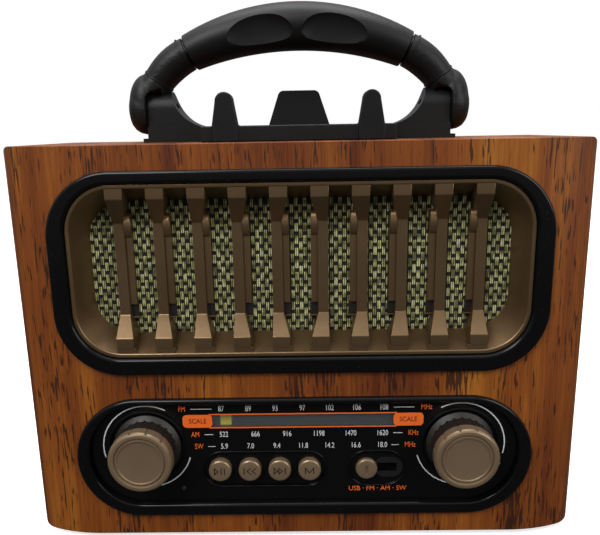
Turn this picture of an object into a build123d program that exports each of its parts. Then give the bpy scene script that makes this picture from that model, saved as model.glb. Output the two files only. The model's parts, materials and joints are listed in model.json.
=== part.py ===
from build123d import *
import math
import os

# Tabletop radio with a folding carry handle and a phone cradle on top.
# All sizes are in millimetres. X runs to the right, Y into the radio from its front, Z up.
# The functions work from the front plane (y = 0) and the cabinet's underside (z = 0).
# At export everything moves so that the origin is at the middle of the foot undersides' box.

# ---------------------------------------------------------------- cabinet
CAB_W = 220.0
CAB_H = 155.0
WRAP_D = 70.0            # depth of the wooden wrap, up to the back cover
COVER_BULGE = 10.0       # how far the lower part of the back cover stands behind the wrap
COVER_T = 2.0
WALL = 4.0
FRONT_T = 5.0
FRONT_RETURN = 20.0      # depth of the front moulding's side returns
EDGE_RUN = 28.0          # width of the easing at each vertical front edge
EASE_R = 60.0
EASE_ANGLE = 20.0
TOP_CORNER_R = 5.0
FOOT_H = 3.0
FOOT_R = 7.0
FIT = 0.2                # gap round a part that sits in an opening

# ---------------------------------------------------------------- speaker side
BEZEL_LIP = 2.0          # how far a bezel's flange laps over the cabinet face
BEZEL_PROUD = 2.0
SPK_SIDE_MARGIN = 17.7
SPK_TOP_MARGIN = 9.1
SPK_CORNER_R = 24.5
SPK_RING = 6.6           # width of the speaker bezel's ring at its sides and foot
SPK_RING_TOP = 4.6       # and along its top
GRILLE_RIM = 1.2
FUNNEL_SIDE = 8.0        # width of the funnel's slope, seen from the front
FUNNEL_D = 9.0
CLOTH_T = 1.0
BAR_COUNT = 10
BAR_PITCH = 14.8
BAR_WIDE = 6.6
BAR_NARROW = 4.1
BAR_T = 3.0
BAR_SINK = 7.0
BAR_FOOT = 3.0           # the bars end this far above the frame's lower edge
RIB_W = 2.8
DRIVER_R = 38.0
CONE_R = 31.0
MAGNET_R = 25.0
DRIVER_DEPTH = 24.0

# ---------------------------------------------------------------- control side
CTL_SIDE_MARGIN = 21.0
CTL_BOTTOM_MARGIN = 8.8
CTL_H = 50.0
BEZEL_GAP = 10.0         # between the two bezels
CTL_RING = 5.2
CTL_RING_TOP = 2.6         # narrower along the top, so that the upper scale shows from above
BEZEL_SLOPE = 1.0          # slope on the ring's inner edge
PLATE_Y = 0.6            # front of the dial plate
PLATE_T = 2.4
KNOB_X = 61.4
KNOB_Z = 38.0
KNOB_R = 12.25
KNOB_FACE_Y = -12.0
SKIRT_R = 11.6
KNOB_WELL_R = 14.5
KNOB_NOTCHES = 12
SHAFT_R = 3.0
BUSH_GAP = 0.05          # running gap of shafts and pins
WINDOW_HALF = 36.0
WINDOW_Z = 48.7
WINDOW_H = 5.4
POINTER_X = -30.4
POINTER_W = 4.3
BUTTON_R = 4.5
BUTTON_PITCH = 11.8
BUTTON_FIRST_X = -33.0
BUTTON_COUNT = 4
BUTTON_Z = 28.0
BUTTON_PROUD = 2.0
BUTTON_GAP = 0.35
TRAY_MARGIN = 2.0
TRAY_H = 14.4
TRAY_DEEP = 0.8
SWITCH_X0 = 18.0
SWITCH_X1 = 39.7
SLIDER_R = 4.3
SLIDER_X = 24.9
SWITCH_TRAVEL = 9.6

# ---------------------------------------------------------------- tuning drive
CORD_R = 0.4
CORD_Y = 16.0
CORD_GAP = 0.3           # the cord stays this far from turning parts
SPINDLE_PITCH_R = 3.0    # radius of the cord's centre line on the spindle
DRUM_PITCH_R = 21.0
DRUM_RIM = 1.0
DRUM_X = 0.0
DRUM_Z = 27.6
DRUM_T = 3.0
GUIDE_R = 2.0
GUIDE_LEFT_X = -48.0
CHASSIS_Y = 19.0
CHASSIS_T = 1.2
RAIL_R = 0.8
RAIL_Y = 9.0
RAIL_Z = 51.6

# ---------------------------------------------------------------- handle and cradle
HANDLE_Y = 40.0
PIVOT_Z = 13.0           # above the cabinet top
PIVOT_R = 2.5
HUB_R = 9.8
HUB_OUT = 68.8
POST_OUT = 60.3
POST_TOP_W = 9.3
POST_R = 7.0             # the post is round about the pivot, seen from the side
BASE_T = 6.0
BASE_HALF_D = 9.0
FOLD_RELIEF = 1.6        # step behind each post that the folded arms lie in
ARCH_R = 14.0            # concave fillet from the post down to the base
GRIP_HALF = 43.4
GRIP_RISE = 9.5
GRIP_TOP = 44.3          # height of the grip's middle above the cabinet top
GRIP_MID = (18.5, 21.0)  # height and depth of the grip's section in the middle
GRIP_END = (14.6, 17.5)
ARM_TOP = (13.1, 16.0)
ARM_RING = (12.2, 15.4)
RING_X = 56.4
RING_RISE = 24.3
RING_HEADING = -53.0
GRIP_NECK = 0.8          # width of the groove between the grip and each arm
PRONG_X = 27.5
PRONG_TOP = 18.3
PRONG_BASE_HALF = 4.9
PRONG_TIP_R = 3.4
CRADLE_Y0 = 15.0
PRONG_T = 5.0
REST_TOP = 20.3
REST_TOP_HALF = 8.2
REST_BASE_HALF = 13.0
REST_Y0 = 49.5
REST_T = 5.0

# ---------------------------------------------------------------- back
COVER_SCREW_R = 2.8
LEDGE_H = 24.0           # the ledge along the top of the back, where the aerial lies
AERIAL_R = 3.5
AERIAL_STEP = 0.5        # each section's radius is this much smaller than the last
AERIAL_WALL = 0.42
AERIAL_SECTIONS = 4
AERIAL_LEN = 138.0
AERIAL_X = 93.0
CELL_R = 9.1
CELL_LEN = 65.0
DOOR_W = 84.0
DOOR_H = 26.0
DOOR_Z = 9.0
SOCKET_X = -78.0
SOCKET_BOARD_Y = 62.0
USB_Z = 62.0
CARD_Z = 48.0
EARPHONE_Z = 34.0
DC_Z = 20.0
PLUG_R = 1.8
DC_HOLE_R = 2.9

# ---------------------------------------------------------------- worked out
CTL_W = CAB_W - 2 * CTL_SIDE_MARGIN
CTL_Z = CTL_BOTTOM_MARGIN + CTL_H / 2
SPK_W = CAB_W - 2 * SPK_SIDE_MARGIN
SPK_Z0 = CTL_BOTTOM_MARGIN + CTL_H + BEZEL_GAP
SPK_H = CAB_H - SPK_TOP_MARGIN - SPK_Z0
SPK_Z = SPK_Z0 + SPK_H / 2
GRILLE_W = SPK_W - 2 * SPK_RING
GRILLE_H = SPK_H - SPK_RING - SPK_RING_TOP
GRILLE_Z = SPK_Z0 + SPK_RING + GRILLE_H / 2
GRILLE_R = SPK_CORNER_R - SPK_RING
CLOTH_W = GRILLE_W - 2 * (GRILLE_RIM + FUNNEL_SIDE) + 6.0
CLOTH_H = GRILLE_H - 2 * (GRILLE_RIM + FUNNEL_SIDE) + 4.0
CLOTH_Y = FUNNEL_D + 1.3
BAFFLE_Y = CLOTH_Y + CLOTH_T
BAFFLE_T = 2.6
DRIVER_Y = BAFFLE_Y + BAFFLE_T
BACK_Y = WRAP_D + COVER_BULGE
PIVOT_AT = CAB_H + PIVOT_Z
PLATE_HALF = CTL_W / 2 - CTL_RING
PLATE_H = CTL_H - CTL_RING - CTL_RING_TOP
PLATE_Z = CTL_BOTTOM_MARGIN + CTL_RING + PLATE_H / 2
RUN_Z = DRUM_Z + DRUM_PITCH_R + DRUM_RIM + CORD_R + 1.0
MID_Y = (KNOB_FACE_Y + BACK_Y) / 2
AERIAL_Y = WRAP_D + COVER_T + AERIAL_R + 0.6
AERIAL_Z = CAB_H - LEDGE_H / 2


# ---------------------------------------------------------------- helpers
def block(x, y, z):
    """A box from three (low, high) pairs."""
    middle = Pos(sum(x) / 2, sum(y) / 2, sum(z) / 2)
    return middle * Box(x[1] - x[0], y[1] - y[0], z[1] - z[0])


def front_plane(y):
    """A plane seen from the front: local x is X, local y is Z."""
    return Plane(origin=(0, y, 0), x_dir=(1, 0, 0), z_dir=(0, -1, 0))


def through(sketch, y0, y1):
    """Extrudes a front-view sketch from depth y0 to depth y1."""
    return extrude(front_plane(y0) * sketch, amount=y0 - y1)


def rod_y(x, z, r, y0, y1):
    """A round bar along Y."""
    return through(Pos(x, z) * Circle(r), y0, y1)


def rod_x(y, z, r, x0, x1):
    """A round bar along X."""
    return Pos((x0 + x1) / 2, y, z) * Rot(0, 90, 0) * Cylinder(r, abs(x1 - x0))


def rounded(w, h, r, x=0.0, z=0.0):
    return Pos(x, z) * RectangleRounded(w, h, min(r, min(w, h) / 2 - 0.01))


def stadium(w, h, x=0.0, z=0.0):
    return rounded(w, h, min(w, h) / 2, x, z)


def mirrored(shape):
    return mirror(shape, about=Plane.YZ)


# ---------------------------------------------------------------- cabinet
def plan_outline(inset=0.0):
    """The cabinet front seen from above: flat middle, soft easing, tighter corner."""
    half = CAB_W / 2 - inset
    flat = CAB_W / 2 - EDGE_RUN
    ease_r = EASE_R - inset
    ease = JernArc((flat, inset), (1, 0), ease_r, EASE_ANGLE)
    turn_r = (half - (ease @ 1).X) / (1 - math.sin(math.radians(EASE_ANGLE)))
    turn = JernArc(ease @ 1, ease % 1, turn_r, 90 - EASE_ANGLE)
    return ease, turn


def plan_face(depth, inset=0.0):
    ease, turn = plan_outline(inset)
    corner = turn @ 1
    start = ease @ 0
    line_side = Line(corner, (corner.X, depth))
    line_back = Line((corner.X, depth), (0, depth))
    line_mid = Line((0, depth), (0, inset))
    line_front = Line((0, inset), start)
    half = make_face([ease, turn, line_side, line_back, line_mid, line_front])
    return half + mirror(half, about=Plane.YZ)


def top_corner_mask(z0, inset=0.0):
    """Front-view outline of the cabinet with its rounded top corners."""
    w = CAB_W - 2 * inset
    h = CAB_H - inset - z0
    face = Pos(0, z0 + h / 2) * Rectangle(w, h)
    top = face.vertices().group_by(Axis.Y)[-1]
    return fillet(top, max(TOP_CORNER_R - inset, 0.6))


def cabinet_shell_solid():
    """The whole wooden shell, before it is parted into front and wrap."""
    outer = extrude(plan_face(WRAP_D), amount=CAB_H) & through(top_corner_mask(0), -1, WRAP_D)
    hollow = extrude(Pos(0, 0, WALL) * plan_face(WRAP_D + 1, WALL), amount=CAB_H - 2 * WALL)
    hollow = hollow & through(top_corner_mask(WALL, WALL), FRONT_T, WRAP_D + 1)
    return outer - hollow


def cabinet_front():
    shell = cabinet_shell_solid() & block((-CAB_W, CAB_W), (-1, FRONT_RETURN), (-1, CAB_H + 1))
    speaker = rounded(SPK_W - 2 * BEZEL_LIP, SPK_H - 2 * BEZEL_LIP, SPK_CORNER_R - BEZEL_LIP, 0, SPK_Z)
    control = stadium(CTL_W - 2 * BEZEL_LIP, CTL_H - 2 * BEZEL_LIP, 0, CTL_Z)
    return shell - through(speaker, -1, FRONT_T + 3) - through(control, -1, FRONT_T + 3)


def cabinet_wrap():
    shell = cabinet_shell_solid()
    shell = shell & block((-CAB_W, CAB_W), (FRONT_RETURN, WRAP_D + 1), (-1, CAB_H + 1))
    return shell


def foot_places():
    for x in (-1, 1):
        for y in (24.0, WRAP_D - 14.0):
            yield x * (CAB_W / 2 - 26.0), y


def feet():
    made = []
    for x, y in foot_places():
        foot = Pos(x, y, -FOOT_H / 2) * Cylinder(FOOT_R, FOOT_H)
        foot = chamfer(foot.edges().group_by(Axis.Z)[0], 0.8)
        made.append(foot)
    return made


# ---------------------------------------------------------------- speaker bezel, grille and cloth
def speaker_bezel():
    flange = through(rounded(SPK_W, SPK_H, SPK_CORNER_R, 0, SPK_Z), -BEZEL_PROUD, 0)
    flange = fillet(flange.edges().group_by(Axis.Y)[0], 1.4)
    inset = 2 * (BEZEL_LIP + FIT)
    collar = rounded(SPK_W - inset, SPK_H - inset, SPK_CORNER_R - inset / 2, 0, SPK_Z)
    ring = flange + through(collar, 0, FRONT_T + 2)
    hole = through(rounded(GRILLE_W, GRILLE_H, GRILLE_R, 0, GRILLE_Z), -BEZEL_PROUD - 1, FRONT_T + 3)
    return ring - hole


def funnel_cut():
    """The hollow of the grille frame: narrows from the rim to the cloth."""
    wide_w = GRILLE_W - 2 * (FIT + GRILLE_RIM)
    wide_h = GRILLE_H - 2 * (FIT + GRILLE_RIM)
    wide = front_plane(-0.6) * rounded(wide_w, wide_h, GRILLE_R - FIT - GRILLE_RIM, 0, GRILLE_Z)
    tight = front_plane(CLOTH_Y + 0.1) * rounded(CLOTH_W, CLOTH_H, GRILLE_R - 2, 0, GRILLE_Z)
    return loft([wide, tight])


def bar_profile():
    """Side view of a bar: ends level with the rim, middle sunk towards the cloth."""
    top = GRILLE_Z + GRILLE_H / 2 - GRILLE_RIM
    low = GRILLE_Z - GRILLE_H / 2 + BAR_FOOT
    front = [(-0.4, low), (-0.4, low + 4.2), (BAR_SINK, low + 11.4)]
    front += [(BAR_SINK, top - 14.1), (-0.4, top - 4.5), (-0.4, top)]
    back = [(y + BAR_T, z) for y, z in reversed(front)]
    back[0] = (CLOTH_Y - 0.2, top)
    back[1] = (CLOTH_Y - 0.2, top - 7.0)
    back[-1] = (CLOTH_Y - 0.2, low)
    back[-2] = (CLOTH_Y - 0.2, low + 6.0)
    return front + back


def grille_bar(x, inward):
    """One bar; inward is +1 when the middle of the radio lies towards +X."""
    side = Plane(origin=(x - BAR_WIDE / 2, 0, 0), x_dir=(0, 1, 0), z_dir=(1, 0, 0))
    solid = extrude(side * make_face(Polyline(*bar_profile(), close=True)), amount=BAR_WIDE)
    top = GRILLE_Z + GRILLE_H / 2
    low = GRILLE_Z - GRILLE_H / 2
    outer = x - inward * BAR_WIDE / 2
    wide = outer + inward * BAR_WIDE
    slim = outer + inward * BAR_NARROW
    points = [(outer, low), (wide, low), (wide, low + 6.0), (slim, low + 15.0)]
    points += [(slim, top - 15.0), (wide, top - 8.0), (wide, top), (outer, top)]
    return solid & through(make_face(Polyline(*points, close=True)), -2, CLOTH_Y + 1)


def grille_rib(x, inward):
    """The deep rib beside a bar, just in front of the cloth."""
    near = x - inward * BAR_WIDE / 2 + inward * (BAR_NARROW - 0.3)
    xs = sorted((near, near + inward * RIB_W))
    half = CLOTH_H / 2 + 1.0
    return block(xs, (BAR_SINK + 1.0, CLOTH_Y - 0.2), (GRILLE_Z - half, GRILLE_Z + half))


def bar_places():
    for i in range(BAR_COUNT):
        x = (i - (BAR_COUNT - 1) / 2) * BAR_PITCH
        yield x, (1 if x < 0 else -1)


def speaker_grille():
    outline = rounded(GRILLE_W - 2 * FIT, GRILLE_H - 2 * FIT, GRILLE_R - FIT, 0, GRILLE_Z)
    frame = through(outline, -0.6, CLOTH_Y)
    flange = rounded(GRILLE_W + 8, GRILLE_H + 4, GRILLE_R + 2, 0, GRILLE_Z)
    frame = frame + through(flange, FRONT_T + 2.2, CLOTH_Y) - funnel_cut()
    for x, inward in bar_places():
        frame = frame + grille_bar(x, inward) + grille_rib(x, inward)
    return frame


def speaker_cloth():
    return through(rounded(CLOTH_W + 6, CLOTH_H + 6, GRILLE_R, 0, GRILLE_Z), CLOTH_Y, CLOTH_Y + CLOTH_T)


def speaker_baffle():
    plate = rounded(GRILLE_W + 8, GRILLE_H + 4, GRILLE_R + 2, 0, GRILLE_Z)
    return through(plate, BAFFLE_Y, DRIVER_Y) - rod_y(0, SPK_Z, CONE_R + 2.0, BAFFLE_Y - 1, DRIVER_Y + 1)


# ---------------------------------------------------------------- loudspeaker
def ring_of_revolution(points):
    """Turns an (r, y) outline about the driver's axis."""
    outline = make_face(Polyline(*[(r, y) for r, y in points], close=True))
    return Pos(0, 0, SPK_Z) * revolve(outline, axis=Axis.Y)


def speaker_basket():
    y = DRIVER_Y
    bowl_end = y + DRIVER_DEPTH - 6.0
    points = [(DRIVER_R, y), (DRIVER_R, y + 1.2), (CONE_R + 2.2, y + 1.2), (MAGNET_R - 6, bowl_end)]
    points += [(MAGNET_R - 6, bowl_end + 1.2), (12.6, bowl_end + 1.2), (12.6, bowl_end)]
    points += [(MAGNET_R - 7.2, bowl_end), (CONE_R + 1.2, y + 1.0), (CONE_R + 1.2, y)]
    bowl = ring_of_revolution(points)
    for k in range(4):
        slot = Pos(0, y + 9.5, SPK_Z) * Rot(0, 45 + 90 * k, 0) * Pos(28, 0, 0) * Box(26, 9, 20)
        bowl = bowl - slot
    for x, z in driver_screw_places():
        bowl = bowl - rod_y(x, z, 1.6, y - 1, y + 2)
    return bowl


def driver_screw_places():
    for k in range(4):
        turn = math.radians(45 + 90 * k)
        yield (DRIVER_R - 2.4) * math.cos(turn), SPK_Z + (DRIVER_R - 2.4) * math.sin(turn)


def driver_screws():
    made = []
    for x, z in driver_screw_places():
        head = rod_y(x, z, 2.2, DRIVER_Y + 1.2, DRIVER_Y + 2.6)
        made.append(head + rod_y(x, z, 1.3, DRIVER_Y + 0.1, DRIVER_Y + 1.3))
    return made


def speaker_surround():
    y = DRIVER_Y
    points = [(CONE_R + 1.0, y + 0.1), (CONE_R - 1.0, y - 1.6), (CONE_R - 3.4, y - 1.4)]
    points += [(CONE_R - 4.4, y + 0.6), (CONE_R - 3.2, y + 0.6), (CONE_R - 1.2, y - 0.4), (CONE_R, y + 1.0)]
    return ring_of_revolution(points)


def speaker_cone():
    y = DRIVER_Y
    points = [(CONE_R - 3.4, y + 0.8), (CONE_R - 4.4, y + 0.8), (9.6, y + 14.0), (10.4, y + 14.4)]
    return ring_of_revolution(points)


def dust_cap():
    dome = Pos(0, DRIVER_Y + 16.0, SPK_Z) * Sphere(10.6)
    inner = Pos(0, DRIVER_Y + 16.0, SPK_Z) * Sphere(10.0)
    keep = block((-12, 12), (DRIVER_Y, DRIVER_Y + 12.4), (SPK_Z - 12, SPK_Z + 12))
    return (dome - inner) & keep


def voice_coil():
    tube = rod_y(0, SPK_Z, 9.4, DRIVER_Y + 14.6, DRIVER_Y + 25.0)
    return tube - rod_y(0, SPK_Z, 8.8, DRIVER_Y + 14.0, DRIVER_Y + 26.0)


def speaker_magnet():
    y = DRIVER_Y + DRIVER_DEPTH - 4.7
    ring = rod_y(0, SPK_Z, MAGNET_R, y, y + 12.0) - rod_y(0, SPK_Z, 10.4, y - 1, y + 9.0)
    pole = rod_y(0, SPK_Z, 8.0, y - 1.0, y + 10.0)
    return ring + pole


# ---------------------------------------------------------------- control bezel and dial plate
def control_bezel():
    flange = through(stadium(CTL_W, CTL_H, 0, CTL_Z), -BEZEL_PROUD, 0)
    flange = fillet(flange.edges().group_by(Axis.Y)[0], 1.4)
    inset = 2 * (BEZEL_LIP + FIT)
    collar = through(stadium(CTL_W - inset, CTL_H - inset, 0, CTL_Z), 0, FRONT_T + 1.4)
    hole = through(stadium(2 * PLATE_HALF, PLATE_H, 0, PLATE_Z), -BEZEL_PROUD - 1, FRONT_T + 2)
    wide = stadium(2 * (PLATE_HALF + BEZEL_SLOPE), PLATE_H + 2 * BEZEL_SLOPE, 0, PLATE_Z)
    tight = stadium(2 * PLATE_HALF, PLATE_H, 0, PLATE_Z)
    slope = loft([front_plane(-BEZEL_PROUD) * wide, front_plane(BEZEL_SLOPE - BEZEL_PROUD) * tight])
    return flange + collar - hole - slope


def button_xs():
    return [BUTTON_FIRST_X + i * BUTTON_PITCH for i in range(BUTTON_COUNT)]


def tray_outline(x0, x1, margin=0.0):
    return stadium(x1 - x0 + 2 * margin, TRAY_H + 2 * margin, (x0 + x1) / 2, BUTTON_Z)


def dial_plate():
    back = PLATE_Y + PLATE_T
    plate = through(stadium(2 * (PLATE_HALF - FIT), PLATE_H - 2 * FIT, 0, PLATE_Z), PLATE_Y, back)
    for side in (-1, 1):
        plate = plate - rod_y(side * KNOB_X, KNOB_Z, KNOB_WELL_R, PLATE_Y - 1, PLATE_Y + 1.2)
        plate = plate - rod_y(side * KNOB_X, KNOB_Z, SHAFT_R + 1.2, PLATE_Y, back + 1)
        ear_x = sorted((side * (WINDOW_HALF + 5.0), side * (WINDOW_HALF + 8.0)))
        ear = block(ear_x, (back - 0.2, RAIL_Y + 3.0), (WINDOW_Z + 1.0, WINDOW_Z + 4.3))
        ear = ear - rod_x(RAIL_Y, RAIL_Z, RAIL_R + 0.02, *ear_x)
        plate = plate + ear
    window = rounded(2 * WINDOW_HALF, WINDOW_H, 0.6, 0, WINDOW_Z)
    plate = plate - through(window, PLATE_Y - 1, back + 1)
    xs = button_xs()
    reach = BUTTON_R + TRAY_MARGIN
    tray = tray_outline(xs[0] - reach, xs[-1] + reach)
    plate = plate - through(tray, PLATE_Y - 1, PLATE_Y + TRAY_DEEP)
    for x in xs:
        plate = plate - rod_y(x, BUTTON_Z, BUTTON_R + BUTTON_GAP, PLATE_Y, back + 1)
    plate = plate - through(tray_outline(SWITCH_X0, SWITCH_X1), PLATE_Y - 1, PLATE_Y + TRAY_DEEP)
    slot_x = SLIDER_X + SWITCH_TRAVEL / 2
    slot = stadium(SWITCH_TRAVEL + 4.4, 3.6, slot_x, BUTTON_Z)
    return plate - through(slot, PLATE_Y, back + 1)


def dial_window():
    lens = rounded(2 * (WINDOW_HALF - 0.1), WINDOW_H - 0.2, 0.5, 0, WINDOW_Z)
    return through(lens, PLATE_Y + 0.4, PLATE_Y + 1.6)


def power_lamp():
    return rod_y(-48.0, CTL_BOTTOM_MARGIN + 11.0, 0.9, PLATE_Y + PLATE_T, PLATE_Y + PLATE_T + 3.4)


# ---------------------------------------------------------------- knobs
def knob_cap(side):
    x = side * KNOB_X
    edge_y = KNOB_FACE_Y + 5.0
    cap = rod_y(x, KNOB_Z, KNOB_R, KNOB_FACE_Y, edge_y)
    cap = fillet(cap.edges().group_by(Axis.Y)[0], 0.9)
    groove = Circle(KNOB_R - 2.6) - Circle(KNOB_R - 3.6)
    cap = cap - through(Pos(x, KNOB_Z) * groove, KNOB_FACE_Y - 1, KNOB_FACE_Y + 0.7)
    for k in range(KNOB_NOTCHES):
        turn = math.radians(360 / KNOB_NOTCHES * (k + 0.5))
        nx = x + (KNOB_R + 0.5) * math.cos(turn)
        nz = KNOB_Z + (KNOB_R + 0.5) * math.sin(turn)
        cap = cap - rod_y(nx, nz, 1.1, KNOB_FACE_Y - 1, edge_y + 1)
    return cap - rod_y(x, KNOB_Z, SHAFT_R, edge_y - 2.5, edge_y + 1)


def knob_skirt(side):
    x = side * KNOB_X
    skirt = rod_y(x, KNOB_Z, SKIRT_R, KNOB_FACE_Y + 5.0, PLATE_Y + 0.6)
    for k in range(2 * KNOB_NOTCHES):
        turn = math.radians(360 / (2 * KNOB_NOTCHES) * k)
        gx = x + SKIRT_R * math.cos(turn)
        gz = KNOB_Z + SKIRT_R * math.sin(turn)
        skirt = skirt - rod_y(gx, gz, 0.7, KNOB_FACE_Y + 5.0, PLATE_Y + 2)
    return skirt - rod_y(x, KNOB_Z, SHAFT_R, KNOB_FACE_Y, PLATE_Y + 2)


def volume_shaft():
    return rod_y(-KNOB_X, KNOB_Z, SHAFT_R, KNOB_FACE_Y + 2.5, CHASSIS_Y - 3.4)


def volume_pot():
    body = rod_y(-KNOB_X, KNOB_Z, 8.0, 12.0, CHASSIS_Y - 1.0)
    body = body + rod_y(-KNOB_X, KNOB_Z, 4.0, 9.0, 12.0)
    return body - rod_y(-KNOB_X, KNOB_Z, SHAFT_R + BUSH_GAP, 8.0, CHASSIS_Y - 3.0)


# ---------------------------------------------------------------- buttons and band switch
def push_button(x):
    face = PLATE_Y - BUTTON_PROUD
    cap = rod_y(x, BUTTON_Z, BUTTON_R, face, PLATE_Y + PLATE_T - 0.2)
    cap = fillet(cap.edges().group_by(Axis.Y)[0], 0.6)
    return cap + rod_y(x, BUTTON_Z, 1.6, PLATE_Y + PLATE_T - 0.3, 6.8)


def tact_switches():
    made = []
    for x in button_xs():
        body = block((x - 3, x + 3), (8.8, 11.0), (BUTTON_Z - 3, BUTTON_Z + 3))
        made.append(body + rod_y(x, BUTTON_Z, 1.5, 7.9, 8.9))
    return made


def front_board():
    board = block((-KNOB_X - 10, KNOB_X - 18), (11.0, 12.0), (14.0, 46.0))
    return board - rod_y(-KNOB_X, KNOB_Z, 4.4, 10, 13)


def band_slider():
    knob = rod_y(SLIDER_X, BUTTON_Z, SLIDER_R, PLATE_Y - 1.6, PLATE_Y + TRAY_DEEP - 0.35)
    knob = fillet(knob.edges().group_by(Axis.Y)[0], 0.6)
    dimple = Pos(SLIDER_X, PLATE_Y - 2.6, BUTTON_Z) * Sphere(1.8)
    stem = block((SLIDER_X - 1.6, SLIDER_X + 1.6), (PLATE_Y + 0.2, 8.4), (BUTTON_Z - 1.2, BUTTON_Z + 1.2))
    return knob - dimple + stem


def band_switch():
    x0 = SLIDER_X - 5.0
    x1 = SLIDER_X + SWITCH_TRAVEL + 5.0
    body = block((x0, x1), (6.4, 11.0), (BUTTON_Z - 4, BUTTON_Z + 4))
    slot_x = (SLIDER_X - 2.2, SLIDER_X + SWITCH_TRAVEL + 2.2)
    return body - block(slot_x, (6.0, 9.0), (BUTTON_Z - 1.8, BUTTON_Z + 1.8))


# ---------------------------------------------------------------- tuning drive
def guide_places():
    right_x = KNOB_X + SPINDLE_PITCH_R - GUIDE_R - CORD_R
    z = RUN_Z - GUIDE_R - CORD_R
    return (GUIDE_LEFT_X, z), (right_x, z)


def tangent_angle(dx, dz, rise):
    """Direction of the common tangent of two pulleys wrapped on the same side."""
    return math.atan2(dz, dx) + math.asin(rise / math.hypot(dx, dz))


def pulley_point(centre, r, turn):
    return centre[0] + r * math.cos(turn), centre[1] + r * math.sin(turn)


def cord_path():
    """One closed loop: spindle, drum, left guide, straight run, right guide, spindle."""
    left, right = guide_places()
    guide_r = GUIDE_R + CORD_R
    spindle = (KNOB_X, KNOB_Z)
    drum = (DRUM_X, DRUM_Z)
    quarter = math.pi / 2
    heading = tangent_angle(drum[0] - spindle[0], drum[1] - spindle[1], DRUM_PITCH_R - SPINDLE_PITCH_R)
    off = heading + quarter
    a0 = pulley_point(spindle, SPINDLE_PITCH_R, off)
    a1 = pulley_point(drum, DRUM_PITCH_R, off)
    rise = tangent_angle(left[0] - drum[0], left[1] - drum[1], guide_r - DRUM_PITCH_R)
    lift = rise + quarter
    b0 = pulley_point(drum, DRUM_PITCH_R, lift)
    b1 = pulley_point(left, guide_r, lift)
    turn_on = (off % (2 * math.pi) + lift % (2 * math.pi)) / 2
    drum_mid = pulley_point(drum, DRUM_PITCH_R, turn_on)
    left_mid = pulley_point(left, guide_r, (lift % (2 * math.pi) + quarter) / 2)
    run0 = pulley_point(left, guide_r, quarter)
    run1 = pulley_point(right, guide_r, quarter)
    right_mid = pulley_point(right, guide_r, quarter / 2)
    drop0 = pulley_point(right, guide_r, 0)
    drop1 = pulley_point(spindle, SPINDLE_PITCH_R, 0)
    under = (off % (2 * math.pi) - 2 * math.pi) / 2
    spindle_mid = pulley_point(spindle, SPINDLE_PITCH_R, under)
    parts = [Line(a0, a1), ThreePointArc(a1, drum_mid, b0), Line(b0, b1)]
    parts += [ThreePointArc(b1, left_mid, run0), Line(run0, run1), ThreePointArc(run1, right_mid, drop0)]
    parts += [Line(drop0, drop1), ThreePointArc(drop1, spindle_mid, a0)]
    return Wire([edge for part in parts for edge in part.edges()])


def dial_cord():
    path = front_plane(CORD_Y) * cord_path()
    path = path if isinstance(path, Wire) else Wire(path.edges())
    start = path.position_at(0)
    section = Plane(origin=start, z_dir=path.tangent_at(0)) * Circle(CORD_R)
    return sweep(section, path=path)


def cord_guides():
    made = []
    for x, z in guide_places():
        post = rod_y(x, z, GUIDE_R - 0.06, CORD_Y - 1.6, CHASSIS_Y)
        made.append(post + rod_y(x, z, GUIDE_R + 1.0, CORD_Y - 2.4, CORD_Y - 1.4))
    return made


def dial_chassis():
    left, right = guide_places()
    back = CHASSIS_Y + CHASSIS_T
    plate = block((left[0] - 6, right[0] + 12), (CHASSIS_Y, back), (WALL + 2, RUN_Z + 7))
    plate = plate - rod_y(DRUM_X, DRUM_Z, 3.0, CHASSIS_Y - 1, back + 1)
    return plate - rod_y(KNOB_X, KNOB_Z, 4.5, CHASSIS_Y - 1, back + 1)


def tuning_bush():
    bush = rod_y(KNOB_X, KNOB_Z, 4.5, CHASSIS_Y, CHASSIS_Y + CHASSIS_T)
    bush = bush + rod_y(KNOB_X, KNOB_Z, 6.0, CHASSIS_Y + CHASSIS_T, CHASSIS_Y + 5.0)
    return bush - rod_y(KNOB_X, KNOB_Z, SHAFT_R + BUSH_GAP, CHASSIS_Y - 1, CHASSIS_Y + 6.0)


def tuning_spindle():
    shaft = rod_y(KNOB_X, KNOB_Z, SHAFT_R, KNOB_FACE_Y + 2.5, CHASSIS_Y + 5.6)
    waist = rod_y(KNOB_X, KNOB_Z, SHAFT_R + 1, CORD_Y - 1.4, CORD_Y + 1.4)
    waist = waist - rod_y(KNOB_X, KNOB_Z, SPINDLE_PITCH_R - CORD_R - CORD_GAP, CORD_Y - 2, CORD_Y + 2)
    return shaft - waist


def tuning_drum():
    floor_r = DRUM_PITCH_R - CORD_R - CORD_GAP
    half = DRUM_T / 2
    drum = rod_y(DRUM_X, DRUM_Z, DRUM_PITCH_R + DRUM_RIM, CORD_Y - half, CORD_Y + half)
    channel = Pos(DRUM_X, DRUM_Z) * (Circle(DRUM_PITCH_R + 2 * DRUM_RIM) - Circle(floor_r))
    drum = drum - through(channel, CORD_Y - 0.8, CORD_Y + 0.8)
    for k in range(5):
        turn = math.radians(90 + 72 * k)
        x = DRUM_X + 12.0 * math.cos(turn)
        z = DRUM_Z + 12.0 * math.sin(turn)
        drum = drum - rod_y(x, z, 4.5, CORD_Y - 2, CORD_Y + 2)
    return drum + rod_y(DRUM_X, DRUM_Z, 2.0, CORD_Y, CHASSIS_Y + 6.0)


def variable_capacitor():
    y0 = CHASSIS_Y + CHASSIS_T
    body = block((DRUM_X - 10, DRUM_X + 10), (y0, y0 + 12), (DRUM_Z - 10, DRUM_Z + 10))
    return body - rod_y(DRUM_X, DRUM_Z, 2.0 + BUSH_GAP, y0 - 1, y0 + 5.2)


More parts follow.
